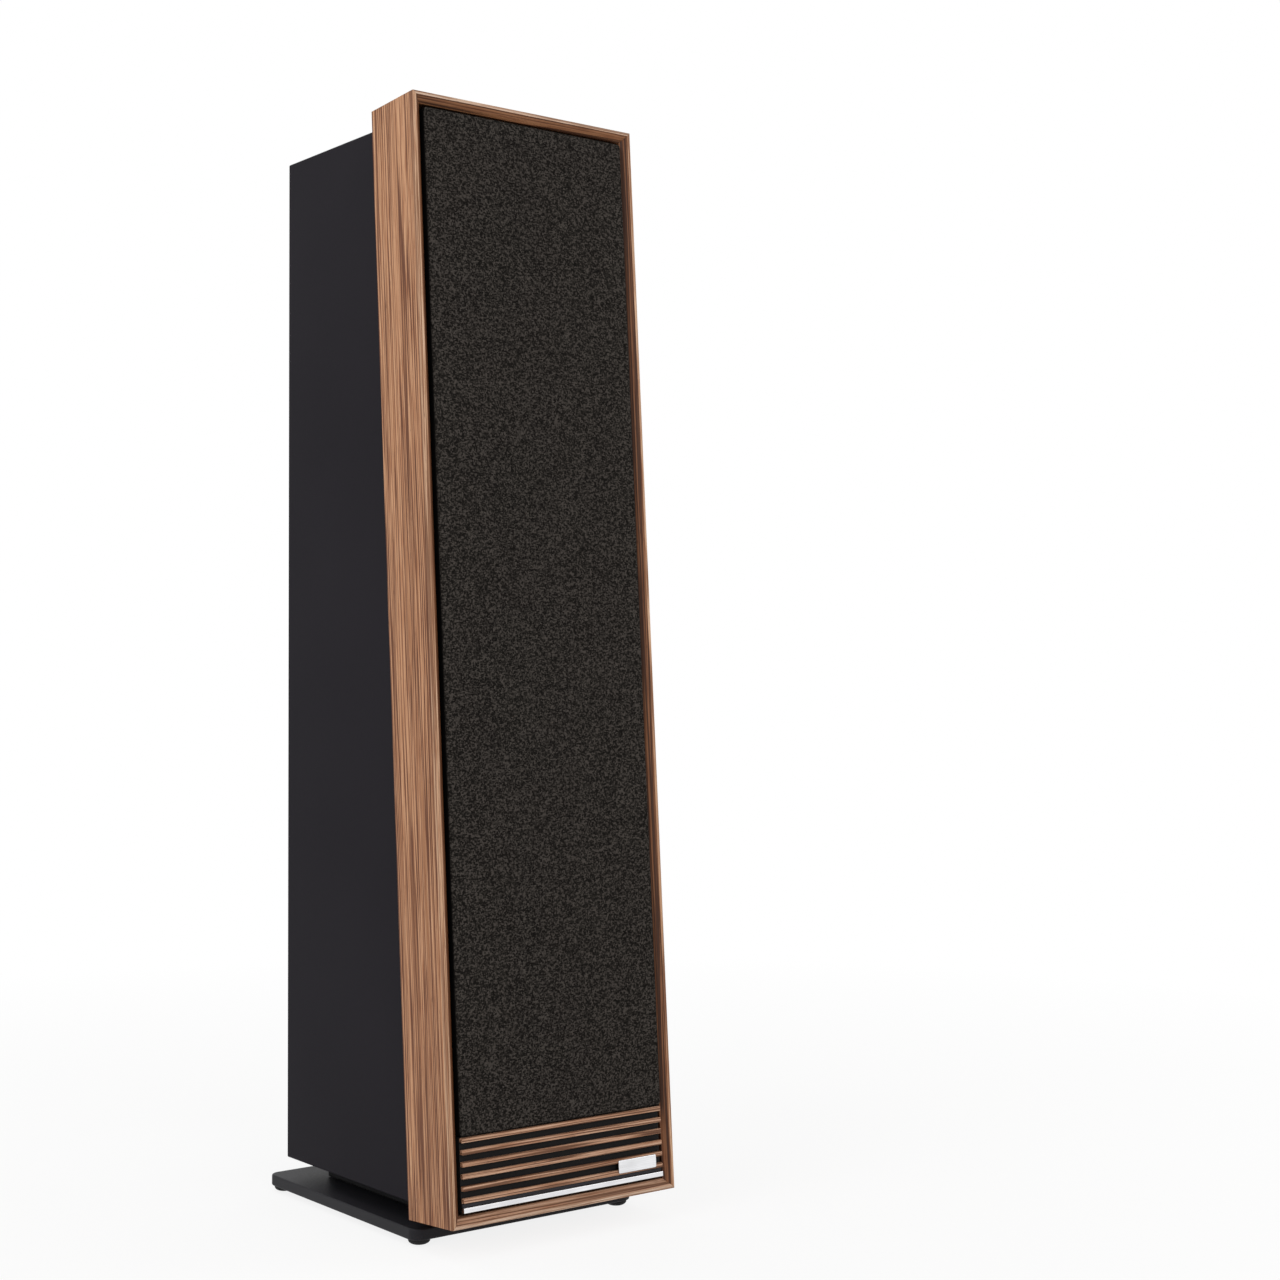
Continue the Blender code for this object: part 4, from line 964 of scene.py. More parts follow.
def circle_spots(count: int, radius: float, first: float = 0.0) -> Profile:
    """Give evenly spaced spots on a circle.

    Args:
        count: Number of spots.
        radius: Radius of the circle.
        first: Angle of the first spot, in degrees.

    Returns:
        The spots.
    """
    angles = [math.radians(first + 360 * n / count) for n in range(count)]
    return [(radius * math.cos(a), radius * math.sin(a)) for a in angles]


def bend_between(piece: Piece, body: str, place: Matrix, inner: float, outer: float) -> None:
    """Let a turned soft ring bend between the cabinet and a moving diaphragm.

    Args:
        piece: Ring whose rim is fixed and whose neck moves.
        body: Body of the diaphragm.
        place: Matrix of the driver's axes, Z outward.
        inner: Radius up to which the ring follows the diaphragm.
        outer: Radius from which the ring stays with the cabinet.
    """
    centre = place.translation
    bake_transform(piece, "cabinet", body, tuple(centre), tuple(centre + place.to_3x3().col[0] * outer))
    back = place.inverted()
    weights = piece.data.attributes["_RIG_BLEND"].data
    for vert, weight in zip(piece.data.vertices, weights):
        spot = back @ vert.co
        share = (outer - math.hypot(spot.x, spot.y)) / (outer - inner)
        share = min(max(share, 0.0), 1.0)
        weight.value = share * share * (3 - 2 * share)


class SubAssembly:
    """Pieces that are built, dressed and hung on their bodies together."""

    def put(
        self,
        piece: Piece,
        finish: Finish,
        body: str | None,
        slot: str | None = None,
        stands_for: Sequence[str] = (),
    ) -> None:
        """Dress a new piece and hang it on its body.

        Args:
            piece: New piece.
            finish: Its finish.
            body: Body that it moves with, or none for a ring that bends.
            slot: Material slot of the record; not used.
            stands_for: CAD nodes that it replaces.
        """
        finish.cover(piece)
        if body is not None:
            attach(piece, body)
        if stands_for:
            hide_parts(*stands_for)
        LOG.info("%s: %s", piece.name, finish.name)

    def keep(self, node: str, finish: Finish) -> None:
        """Dress a CAD node whose shape stays."""
        finish.cover(frame["nodes"][node])
        LOG.info("%s: %s", node, finish.name)


@dataclass
class ScrewRow(SubAssembly):
    """Set of low screw heads with hexagon sockets; sizes are shares of the radius."""

    radius: float
    rise: float = 0.32
    socket: float = 0.55
    eased: float = 0.14
    shank: float = 0.4
    socket_floor: float = 0.2

    def flats(self, point: int, angle: float) -> float:
        """Give the share of the radius, which the socket's two points lose to its flats."""
        return hexagon(angle) if point in (1, 2) else 1.0

    def build(self, name: str, spots: Profile, place: Matrix) -> None:
        """Build the heads and dress them.

        Args:
            name: Name of the set.
            spots: Centres of the heads, in the axes that place gives.
            place: Matrix from those axes to the world, Z outward.
        """
        radius = self.radius
        height = radius * self.rise
        socket = radius * self.socket
        eased = radius * self.eased
        profile = [
            (0.0, height * self.socket_floor),
            (socket, height * self.socket_floor),
            (socket, height),
            (radius - eased, height),
            (radius, height - eased),
            (radius, -radius * self.shank),
            (0.0, -radius * self.shank),
        ]
        form = bmesh.new()
        for across, up in spots:
            spot = Matrix.Translation((across, up, 0))
            turn(form, profile, SCREW_STEPS, spot, False, self.flats)
        self.put(solid(name, form, place), BLACK_STEEL, "cabinet")


@dataclass
class Cabinet(SubAssembly):
    """Seamless lacquered box behind the surround, with its brace."""

    edge_radius: float = 0.0012
    port_hole_radius: float = 0.0389
    window_half: Span = (0.035, 0.020)
    cut_reach: float = 0.03

    def box_form(self, half: float, heights: Span, rear: float, depth: float) -> Form:
        """Give a box whose front leans with the surround.

        Args:
            half: Half of its width.
            heights: World heights of its bottom and top.
            rear: World Y of its rear.
            depth: Depth of its front behind the front plane.

        Returns:
            The form.
        """
        form = bmesh.new()
        bmesh.ops.create_cube(form, size=2)
        for vert in form.verts:
            height = heights[1] if vert.co.z > 0 else heights[0]
            y = rear if vert.co.y > 0 else FRONT.depth_to_y(depth, height)
            vert.co = Vector((vert.co.x * half, y, height))
        return form

    def build(self) -> None:
        """Build the box with its openings and dress the brace."""
        side_low, side_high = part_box("cabinet_left_side")
        half = -side_low[0]
        wall = side_high[0] - side_low[0]
        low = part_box("cabinet_bottom")[0][2]
        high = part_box("cabinet_top")[1][2]
        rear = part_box("cabinet_rear")[1][1]
        depth = FRONT.measure("cabinet_left_side")[0].y
        reach = self.cut_reach
        form = self.box_form(half, (low, high), rear, depth)
        front = min(form.faces, key=lambda face: face.calc_center_median().y)
        outer = [edge for edge in form.edges if edge not in front.edges[:]]
        round_edges(form, outer, self.edge_radius, EDGE_FACETS)
        shell = solid("cabinet_shell", form, Matrix())
        cavity = self.box_form(half - wall, (low + wall, high - wall), rear - wall, depth - reach)
        across, up = self.window_half
        window = block((-across, -up, -reach), (across, up, reach))
        tools = [
            solid("cavity", cavity, Matrix()),
            plug("port_hole", self.port_hole_radius, reach, rear_axes("port_tube")),
            solid("terminal_window", window, rear_axes("terminal_plate")),
        ]
        cut_away(shell, tools)
        keep_flats(shell)
        panels = ("left_side", "right_side", "top", "bottom", "rear")
        nodes = [f"cabinet_{panel}" for panel in panels]
        self.put(shell, LACQUER, "cabinet", "cabinet_lacquer", nodes)
        self.keep("cabinet_brace", BLACK_BOARD)


@dataclass
class Surround(SubAssembly):
    """Picture-frame surround of four mitred veneered members."""

    lip: float = 0.0085
    lip_flat: float = 0.0028
    bevel_depth: float = 0.0055
    seat_depth: float = 0.0388
    lipping: float = 0.0045
    arris: float = 0.0006
    joint_gap: float = 0.00005
    crease: float = 24.0

    def section(self, back: float, depth: float) -> Profile:
        """Give a member's section as inward distance and depth.

        Args:
            back: Thickness at the rear.
            depth: Depth from front to rear.

        Returns:
            The section's points.
        """
        eased = (self.arris, self.arris)
        return [
            *arc(eased, eased, 180, 270),
            (self.lip_flat, 0.0),
            (self.lip, self.bevel_depth),
            (self.lip, self.seat_depth),
            (back, self.seat_depth),
            (back, depth),
            *arc((self.arris, depth - self.arris), eased, 90, 180),
            (0.0, self.lipping),
        ]

    def member(self, name: str, length: float, section: Profile, place: Matrix) -> Piece:
        """Make one member with mitred ends.

        Args:
            name: Name of the piece.
            length: Length along the outer edge.
            section: Inward distance and depth of each point.
            place: Matrix in the front's axes, X inward and Z along the member.

        Returns:
            The new object.
        """
        form = bmesh.new()
        ends = []
        for side in (-1, 1):
            reach = length / 2 - self.joint_gap
            ring = [form.verts.new((x, u, side * (reach - x))) for x, u in section]
            form.faces.new(ring)
            ends.append(ring)
        for n, start in enumerate(ends[0]):
            after = (n + 1) % len(section)
            form.faces.new((start, ends[0][after], ends[1][after], ends[1][n]))
        piece = solid(name, form, FRONT.matrix @ place, self.crease)
        keep_flats(piece)
        return piece

    def build(self) -> None:
        """Build the four members and dress them."""
        low, high = FRONT.measure(*SURROUND)
        side_low, side_high = FRONT.measure("surround_left")
        section = self.section(side_high.x - side_low.x, high.y)
        middle = (low.z + high.z) / 2
        width = high.x - low.x
        height = high.z - low.z
        # The chamfer finish of the uprights and the top is a darker copy of the walnut: painted shade in the
        # recess beside the grille.
        upright = (WALNUT_UPRIGHT, LIPPING_UPRIGHT, SHADED_CHAMFER_UPRIGHT)
        lower = (WALNUT_LEVEL, LIPPING_LEVEL, WALNUT_SAWN)
        upper = (WALNUT_LEVEL, LIPPING_LEVEL, SHADED_CHAMFER_LEVEL)
        members = (
            ("left", height, (low.x, 0, middle), 0.0, upright),
            ("right", height, (high.x, 0, middle), math.pi, upright),
            ("bottom", width, (0, 0, low.z), -QUARTER, lower),
            ("top", width, (0, 0, high.z), QUARTER, upper),
        )
        for name, length, spot, angle, (veneer, lipping, chamfer) in members:
            place = Matrix.Translation(spot) @ Matrix.Rotation(angle, 4, "Y")
            piece = self.member(f"surround_{name}_veneered", length, section, place)
            self.put(piece, veneer, "cabinet", "walnut", [f"surround_{name}"])
            self.face_lip(piece, section, lipping, chamfer)

    def face_lip(self, piece: Piece, section: Profile, lipping: Finish, chamfer: Finish) -> None:
        """Give a member's lipping and chamfer their own finishes.

        Args:
            piece: Member of the surround, whose long faces follow its two ends.
            section: Inward distance and depth of each point.
            lipping: Finish of the front edge, a lighter walnut that is partly painted highlight.
            chamfer: Finish of the slope behind it and of the wall that it ends on; on the uprights and the
                top a darker walnut that paints shade there.
        """
        piece.data.materials.append(lipping.material())
        piece.data.materials.append(chamfer.material())
        for n, face in enumerate(piece.data.polygons[2:]):
            pair = (section[n], section[(n + 1) % len(section)])
            # Lipping faces: a lighter walnut, partly painted highlight along the front edge.
            if all(x <= self.lip_flat and u <= self.lipping for x, u in pair):
                face.material_index = 1
            # Chamfer faces: on the uprights and the top their darker walnut is painted shade.
            elif all(self.lip_flat <= x <= self.lip and u <= self.seat_depth for x, u in pair):
                face.material_index = 2


@dataclass
class Base(SubAssembly):
    """Base plate, riser and feet."""

    corner_radius: float = 0.010
    corner_steps: int = 10
    edge_radius: float = 0.0013
    riser_edge: float = 0.001
    foot_flat: float = 0.0035
    foot_rim: float = 0.0009
    foot_steps: int = 8

    def build(self) -> None:
        """Build the plate, the riser and four feet, and dress them."""
        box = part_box("base_plate")
        form = rounded_block(*box, 2, self.corner_radius, self.corner_steps)
        plate = solid("base_plate_coated", form, Matrix())
        ease(plate, self.edge_radius, EDGE_FACETS)
        self.put(plate, POWDER_COAT, "cabinet", "base_coat", ["base_plate"])
        riser = solid("riser_painted", block(*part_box("riser")), Matrix())
        ease(riser, self.riser_edge)
        self.put(riser, RISER_PAINT, "cabinet", "riser_coat", ["riser"])
        for end in ("front", "rear"):
            for side in ("left", "right"):
                self.foot(f"foot_{end}_{side}")

    def foot(self, node: str) -> None:
        """Build one domed foot.

        Args:
            node: CAD node of the foot.
        """
        low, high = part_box(node)
        radius = half_width(node)
        height = high[2] - low[2]
        rise = height - self.foot_rim
        radii = (radius - self.foot_flat, rise)
        dome = arc((self.foot_flat, rise), radii, -90, 0, self.foot_steps)
        profile = [(0.0, 0.0), *dome, (radius, height), (0.0, height)]
        place = Matrix.Translation(((low[0] + high[0]) / 2, (low[1] + high[1]) / 2, low[2]))
        piece = turned(f"{node}_moulded", profile, place, SMALL_STEPS, False)
        self.put(piece, FOOT_RUBBER, "cabinet", "foot_rubber", [node])


@dataclass
class Grille(SubAssembly):
    """Lift-off grille: stretched cloth on rails, slats, strip and a bare badge."""

    edge_radius: float = 0.0028
    corner_radius: float = 0.0045
    thickness: float = 0.0007
    slack: float = 0.0003
    cell: float = 0.008
    straight_steps: int = 3
    bend_steps: int = 5
    crease: float = 60.0
    slats: int = 6
    channel_setback: float = 0.0022
    channel_gap: float = 0.0003
    metal_edge: float = 0.0004
    badge_corner: float = 0.0012
    badge_steps: int = 6
    magnet_radius: float = 0.005
    magnet_eased: float = 0.0004
    magnet_proud: float = 0.00005
    magnet_deep: float = 0.001
    magnet_heights: Sizes = (0.12, 0.42, 0.86)

    def stations(self, half: float, wrap: float) -> Profile:
        """Lay one direction of the cloth over both edges.

        Args:
            half: Half of the front's size in this direction.
            wrap: Depth to which the cloth is turned back.

        Returns:
            Place across and depth of each line of the weave's grid, edge to edge.
        """
        radius = self.edge_radius
        flat = half - self.corner_radius
        bend_start = half - radius
        count = max(2, round(flat / self.cell))
        steps = self.straight_steps
        numbers = range(1, steps + 1)
        outward = [(flat * n / count, 0.0) for n in range(count + 1)]
        outward += [(flat + (bend_start - flat) * n / steps, 0.0) for n in numbers]
        for n in range(1, self.bend_steps + 1):
            angle = QUARTER * n / self.bend_steps
            outward.append((bend_start + radius * math.sin(angle), radius * (1 - math.cos(angle))))
        outward += [(half, radius + (wrap - radius) * n / steps) for n in numbers]
        return [(-place, depth) for place, depth in reversed(outward[1:])] + outward

    def cloth_form(self, half_x: float, half_s: float, wrap: float) -> Form:
        """Lay the cloth over its rails, with its corners notched.

        Args:
            half_x: Half of the front's width.
            half_s: Half of the front's height.
            wrap: Depth to which the cloth is turned back.

        Returns:
            The form, about the middle of its front.
        """
        radius = self.corner_radius
        turned_from = self.edge_radius - TINY
        columns = self.stations(half_x, wrap)
        rows = self.stations(half_s, wrap)
        form = bmesh.new()
        grid = []
        for up, back_s in rows:
            line = []
            for across, back_x in columns:
                corner_x = max(0.0, abs(across) - (half_x - radius)) / radius
                corner_s = max(0.0, abs(up) - (half_s - radius)) / radius
                x = abs(across) - corner_x * radius * (1 - math.sqrt(1 - corner_s**2 / 2))
                s = abs(up) - corner_s * radius * (1 - math.sqrt(1 - corner_x**2 / 2))
                bow = (1 - (across / half_x) ** 2) * (1 - (up / half_s) ** 4)
                depth = max(back_x, back_s) + self.slack * max(0.0, bow)
                spot = (math.copysign(x, across), depth, math.copysign(s, up))
                line.append(form.verts.new(spot))
            grid.append(line)
        for r in range(len(rows) - 1):
            for c in range(len(columns) - 1):
                turned_s = min(rows[r][1], rows[r + 1][1]) >= turned_from
                turned_x = min(columns[c][1], columns[c + 1][1]) >= turned_from
                if not (turned_s and turned_x):
                    low, high = grid[r], grid[r + 1]
                    form.faces.new((low[c], low[c + 1], high[c + 1], high[c]))
        loose = [vert for vert in form.verts if not vert.link_faces]
        bmesh.ops.delete(form, geom=loose, context="VERTS")
        bmesh.ops.remove_doubles(form, verts=form.verts[:], dist=TINY)
        return form

    def cloth(self) -> None:
        """Build the stretched cloth and dress it."""
        low, high = FRONT.measure("grille_cloth")
        half_x = (high.x - low.x) / 2
        half_s = (high.z - low.z) / 2
        wrap = high.y - low.y
        place = FRONT.matrix @ Matrix.Translation((0, low.y, (low.z + high.z) / 2))
        form = self.cloth_form(half_x, half_s, wrap)
        piece = solid("grille_cloth_stretched", form, place, self.crease)
        outward = FRONT.matrix.to_3x3() @ Vector((0, -1, 0))
        largest = max(piece.data.polygons, key=lambda face: face.area)
        if largest.normal.dot(outward) < 0:
            piece.data.flip_normals()
        shell = piece.modifiers.new("thickness", "SOLIDIFY")
        shell.thickness = self.thickness
        shell.offset = -1
        bake(piece)
        self.put(piece, GRILLE_CLOTH, "grille", "grille_cloth", ["grille_cloth"])

    def plate(self, name: str, low: Vector, high: Vector, corner: float = 0.0) -> Piece:
        """Make a metal plate in the front's axes with eased edges.

        Args:
            name: Name of the piece.
            low: Lowest corner, as X, U and S.
            high: Highest corner, as X, U and S.
            corner: Radius of the corners seen from the front.

        Returns:
            The new object.
        """
        form = block(low, high)
        if corner:
            form = rounded_block(low, high, 1, corner, self.badge_steps)
        piece = solid(name, form, FRONT.matrix)
        ease(piece, self.metal_edge)
        return piece

    def discs(self, name: str, depth: float) -> Piece:
        """Make the six round magnets or catches along the rails.

        Args:
            name: Name of the set.
            depth: Depth of their front behind the front plane.

        Returns:
            The new object.
        """
        rail_low, rail_high = FRONT.measure("grille_rail_right")
        across = (rail_low.x + rail_high.x) / 2
        radius = self.magnet_radius
        profile = [
            (0.0, 0.0),
            (radius - self.magnet_eased, 0.0),
            (radius, -self.magnet_eased),
            (radius, -self.magnet_deep),
            (0.0, -self.magnet_deep),
        ]
        form = bmesh.new()
        for side in (-across, across):
            for height in self.magnet_heights:
                spot = Matrix.Translation((side, depth, height))
                turn(form, profile, DISC_STEPS, spot @ Matrix.Rotation(QUARTER, 4, "X"), False)
        return solid(name, form, FRONT.matrix)

    def build(self) -> None:
        """Build the cloth, strip, channel, badge and magnets; dress rails and slats."""
        self.cloth()
        for node in ("rail_left", "rail_right", "rail_top", "crossbar", "backing_board"):
            self.keep(f"grille_{node}", BLACK_BOARD)
        for number in range(1, self.slats + 1):
            self.keep(f"grille_slat_{number}", WALNUT_SAWN)
        low, high = FRONT.measure("trim_strip")
        strip = self.plate("trim_strip_brushed", low, high)
        self.put(strip, BRIGHT_ALUMINIUM, "grille", "trim_aluminium", ["trim_strip"])
        slat_low, _ = FRONT.measure(f"grille_slat_{self.slats}")
        board_face = FRONT.measure("grille_backing_board")[0].y
        # The channel's grey stands partly for the bright strip's reflection on the dark board above it.
        channel_low = Vector((low.x, low.y + self.channel_setback, high.z + self.channel_gap / 2))
        channel_high = Vector((high.x, board_face, slat_low.z - self.channel_gap))
        channel = self.plate("trim_strip_channel", channel_low, channel_high)
        self.put(channel, GREY_REFLECTION_ALUMINIUM, "grille", "trim_aluminium")
        badge = self.plate("badge_plate_bare", *FRONT.measure("badge_plate"), self.badge_corner)
        self.put(badge, BRIGHT_ALUMINIUM, "grille", "trim_aluminium", ["badge_plate"])
        rail_back = FRONT.measure("grille_rail_right")[1].y
        magnets = self.discs("grille_magnets", rail_back + self.magnet_proud - self.magnet_deep)
        self.put(magnets, NICKEL, "grille")
        baffle_face = FRONT.measure("front_baffle")[0].y
        catches = self.discs("baffle_catches", baffle_face - self.magnet_proud)
        self.put(catches, NICKEL, "cabinet")


@dataclass
class Baffle(SubAssembly):
    """Front baffle with its stepped driver holes."""

    edge_radius: float = 0.0008
    # Radius and depth of a hole's rebate, and radius of its bore.
    woofer_hole: Sizes = (0.0786, 0.0051, 0.0657)
    tweeter_hole: Sizes = (0.0523, 0.0046, 0.0419)
    reach: float = 0.03

    def hole(self, name: str, node: str, sizes: Sizes) -> Piece:
        """Make the shape of one stepped hole.

        Args:
            name: Name of the shape.
            node: CAD node on the driver's axis.
            sizes: Radius and depth of the rebate, and radius through the baffle.

        Returns:
            The shape, ready to be cut away.
        """
        radius, depth, bore = sizes
        profile = [
            (0.0, self.reach),
            (radius, self.reach),
            (radius, -depth),
            (bore, -depth),
            (bore, -self.reach),
            (0.0, -self.reach),
        ]
        return turned(name, profile, FRONT.driver_axes(node), FINE_STEPS, False)

    def build(self) -> None:
        """Build the baffle and dress it."""
        board = solid("front_baffle_stained", block(*FRONT.measure("front_baffle")), FRONT.matrix)
        ease(board, self.edge_radius)
        tools = [
            self.hole("hole_upper", "woofer_upper_basket", self.woofer_hole),
            self.hole("hole_lower", "woofer_lower_basket", self.woofer_hole),
            self.hole("hole_tweeter", "tweeter_faceplate", self.tweeter_hole),
        ]
        cut_away(board, tools)
        self.put(board, BLACK_BOARD, "cabinet", "black_board", ["front_baffle"])


def motor_finish(node: str, magnet: Span) -> Layered:
    """Give the finish of a motor: ferrite between two zinc-plated steel plates.

    Args:
        node: Motor node.
        magnet: Shares of the motor's depth between which the magnet is.

    Returns:
        The finish.
    """
    low, high = FRONT.measure(node)
    depth = high.y - low.y
    edges = FRONT.own_depths(node, depth * magnet[0], depth * magnet[1])
    return Layered(f"ferrite_sintered_and_steel_plated_{node}", edges)


@dataclass
class Woofer(SubAssembly):
    """Mid-bass driver: basket, cone, roll, dust cap, spider, coil and motor."""

    level: str
    flange_inner: float = 0.0613
    flange_top: float = -0.0003
    flange_back: float = -0.0048
    flange_eased: float = 0.0008
    basket_bend: float = 0.0653
    # Heights of the floor's top and bottom; radii of its hole, its bowl and its outside.
    floor: Span = (-0.053, -0.056)
    floor_radii: Sizes = (0.030, 0.041, 0.044)
    windows: int = 6
    # Width of a window and heights of its ends; distances between which it is cut.
    window: Sizes = (0.028, -0.036, -0.016)
    window_span: Span = (0.032, 0.075)
    neck: float = 0.0149
    cone_rim: float = 0.0510
    cone_depth: float = 0.028
    cone_thickness: float = 0.0012
    cone_power: float = 0.85
    cone_steps: int = 40
    rib_height: float = 0.00035
    rib_span: Span = (0.029, 0.047)
    rib_count: int = 4
    roll_radius: float = 0.005
    roll_skin: float = 0.0009
    roll_start: float = 0.0003
    # Angle at which both skins meet the cone, the outer one's end and the inner one's start.
    roll_angles: Sizes = (157.0, 12.0, 2.0)
    roll_steps: int = 18
    roll_overlap: float = 0.0025
    roll_foot: float = 0.0006
    roll_bend: float = 0.0005
    glue: float = 0.0001
    # Radius of the landing on the flange, and heights of its top and bottom.
    landing: Sizes = (0.0658, 0.0010, 0.0001)
    cap_radius: float = 0.022
    cap_rise: float = 0.009
    cap_skin: float = 0.001
    cap_seat: float = 0.0004
    cap_angle: float = 8.0
    cap_steps: int = 16
    spider_level: float = -0.042
    spider_wave: float = 0.0016
    spider_waves: int = 3
    spider_skin: float = 0.0008
    spider_steps: int = 48
    spider_bend: Span = (0.001, 0.002)
    magnet: Span = (0.28, 0.72)
    screw_count: int = 6
    screw_circle: float = 0.0722
    screw_radius: float = 0.0030

    def cone_front(self, radius: float) -> float:
        """Give the height of the cone's front at a radius."""
        share = (radius - self.neck) / (self.cone_rim - self.neck)
        return self.cone_depth * (share**self.cone_power - 1) + self.cone_thickness

    def basket_profile(self, outer: float) -> Profile:
        """Give the basket's section.

        Args:
            outer: Radius of the flange.

        Returns:
            Radius and height of each point.
        """
        hole, bowl, foot = self.floor_radii
        top, bottom = self.floor
        eased = self.flange_eased
        return [
            (self.flange_inner, self.flange_top),
            *arc((outer - eased, self.flange_top - eased), (eased, eased), 90, 0),
            (outer, self.flange_back),
            (self.basket_bend, self.flange_back),
            (foot, top),
            (foot, bottom),
            (hole, bottom),
            (hole, top),
            (bowl, top),
            (self.flange_inner, self.flange_back),
        ]

    def cone_profile(self) -> Profile:
        """Give the cone's section with its pressed ribs.

        Returns:
            Radius and height of each point.
        """
        front = []
        start, end = self.rib_span
        for step in range(self.cone_steps + 1):
            radius = self.neck + (self.cone_rim - self.neck) * step / self.cone_steps
            share = (radius - start) / (end - start)
            rib = math.sin(math.pi * self.rib_count * share) ** 2 if 0 < share < 1 else 0.0
            front.append((radius, self.cone_front(radius) + self.rib_height * rib))
        return front + [(radius, height - self.cone_thickness) for radius, height in front[::-1]]

    def roll_profile(self) -> Profile:
        """Give the half-round roll's section, with its foot on the cone.

        Returns:
            Radius and height of each point.
        """
        middle = ((self.cone_rim + self.roll_start + self.flange_inner) / 2, 0.0)
        rise, over_end, under_start = self.roll_angles
        inner = self.roll_radius - self.roll_skin
        foot = self.cone_rim - self.roll_overlap
        rim, top, bottom = self.landing
        steps = self.roll_steps
        return [
            (foot, self.cone_front(foot) + self.glue),
            (foot, self.cone_front(foot) + self.roll_foot),
            *arc(middle, (self.roll_radius, self.roll_radius), rise, over_end, steps),
            (rim, top),
            (rim, bottom),
            *arc(middle, (inner, inner), under_start, rise, steps),
            (self.cone_rim, self.cone_front(self.cone_rim) + self.glue),
        ]

    def cap_profile(self) -> Profile:
        """Give the dust cap's section, from the axis out and back.

        Returns:
            Radius and height of each point.
        """
        foot = (0.0, self.cone_front(self.cap_radius) + self.cap_seat)
        outer = (self.cap_radius, self.cap_rise)
        inner = (self.cap_radius - self.cap_skin, self.cap_rise - self.cap_skin)
        over = arc(foot, outer, 90, self.cap_angle, self.cap_steps)
        under = arc(foot, inner, self.cap_angle, 90, self.cap_steps)
        over[0] = (0.0, over[0][1])
        under[-1] = (0.0, under[-1][1])
        return over + under

    def spider_profile(self, outer: float) -> Profile:
        """Give the corrugated spider's section.

        Args:
            outer: Radius of the spider's rim.

        Returns:
            Radius and height of each point.
        """
        top = []
        for step in range(self.spider_steps + 1):
            share = step / self.spider_steps
            wave = self.spider_wave * math.sin(math.tau * self.spider_waves * share)
            wave *= math.sin(math.pi * share) ** 0.5
            top.append((self.neck + (outer - self.neck) * share, self.spider_level + wave))
        return top + [(radius, height - self.spider_skin) for radius, height in top[::-1]]

    def basket(self, name: str, place: Matrix) -> None:
        """Build the basket with its windows and screws.

        Args:
            name: Name of the driver.
            place: Matrix from the driver's axes to the world.
        """
        node = f"{name}_basket"
        piece = turned(f"{node}_cast", self.basket_profile(half_width(node)), place)
        width, low, high = self.window
        near, far = self.window_span
        tools = []
        for number in range(self.windows):
            angle = math.tau * (number + 0.5) / self.windows
            form = block((near, -width / 2, low), (far, width / 2, high))
            way = place @ Matrix.Rotation(angle, 4, "Z")
            tools.append(solid(f"{node}_window_{number}", form, way))
        cut_away(piece, tools)
        self.put(piece, CAST_BASKET, "cabinet", "driver_basket", [node])
        lifted = place @ Matrix.Translation((0, 0, self.flange_top))
        spots = circle_spots(self.screw_count, self.screw_circle)
        ScrewRow(self.screw_radius).build(f"{name}_screws", spots, lifted)

    def build(self) -> None:
        """Build and dress the driver."""
        name = f"woofer_{self.level}"
        body = f"{name}_diaphragm"
        place = FRONT.driver_axes(f"{name}_basket")
        self.basket(name, place)
        cone = turned(f"{name}_cone_pressed", self.cone_profile(), place)
        self.put(cone, CONE_PAPER, body, "driver_cone", [f"{name}_cone"])
        cap = turned(f"{name}_dust_cap_pressed", self.cap_profile(), place, closed=False)
        self.put(cap, CONE_PAPER, body, "driver_cone", [f"{name}_dust_cap"])
        roll = turned(f"{name}_roll_moulded", self.roll_profile(), place)
        self.put(roll, ROLL_RUBBER, None, "driver_roll", [f"{name}_roll"])
        bend_between(roll, body, place, self.cone_rim + self.roll_bend, self.flange_inner)
        outer = half_width(f"{name}_spider")
        spider = turned(f"{name}_spider_corrugated", self.spider_profile(outer), place)
        self.put(spider, RESIN_COTTON, None, "driver_spider", [f"{name}_spider"])
        inner_bend, outer_bend = self.spider_bend
        bend_between(spider, body, place, self.neck + inner_bend, outer - outer_bend)
        self.keep(f"{name}_voice_coil", VOICE_COIL)
        self.keep(f"{name}_motor", motor_finish(f"{name}_motor", self.magnet))


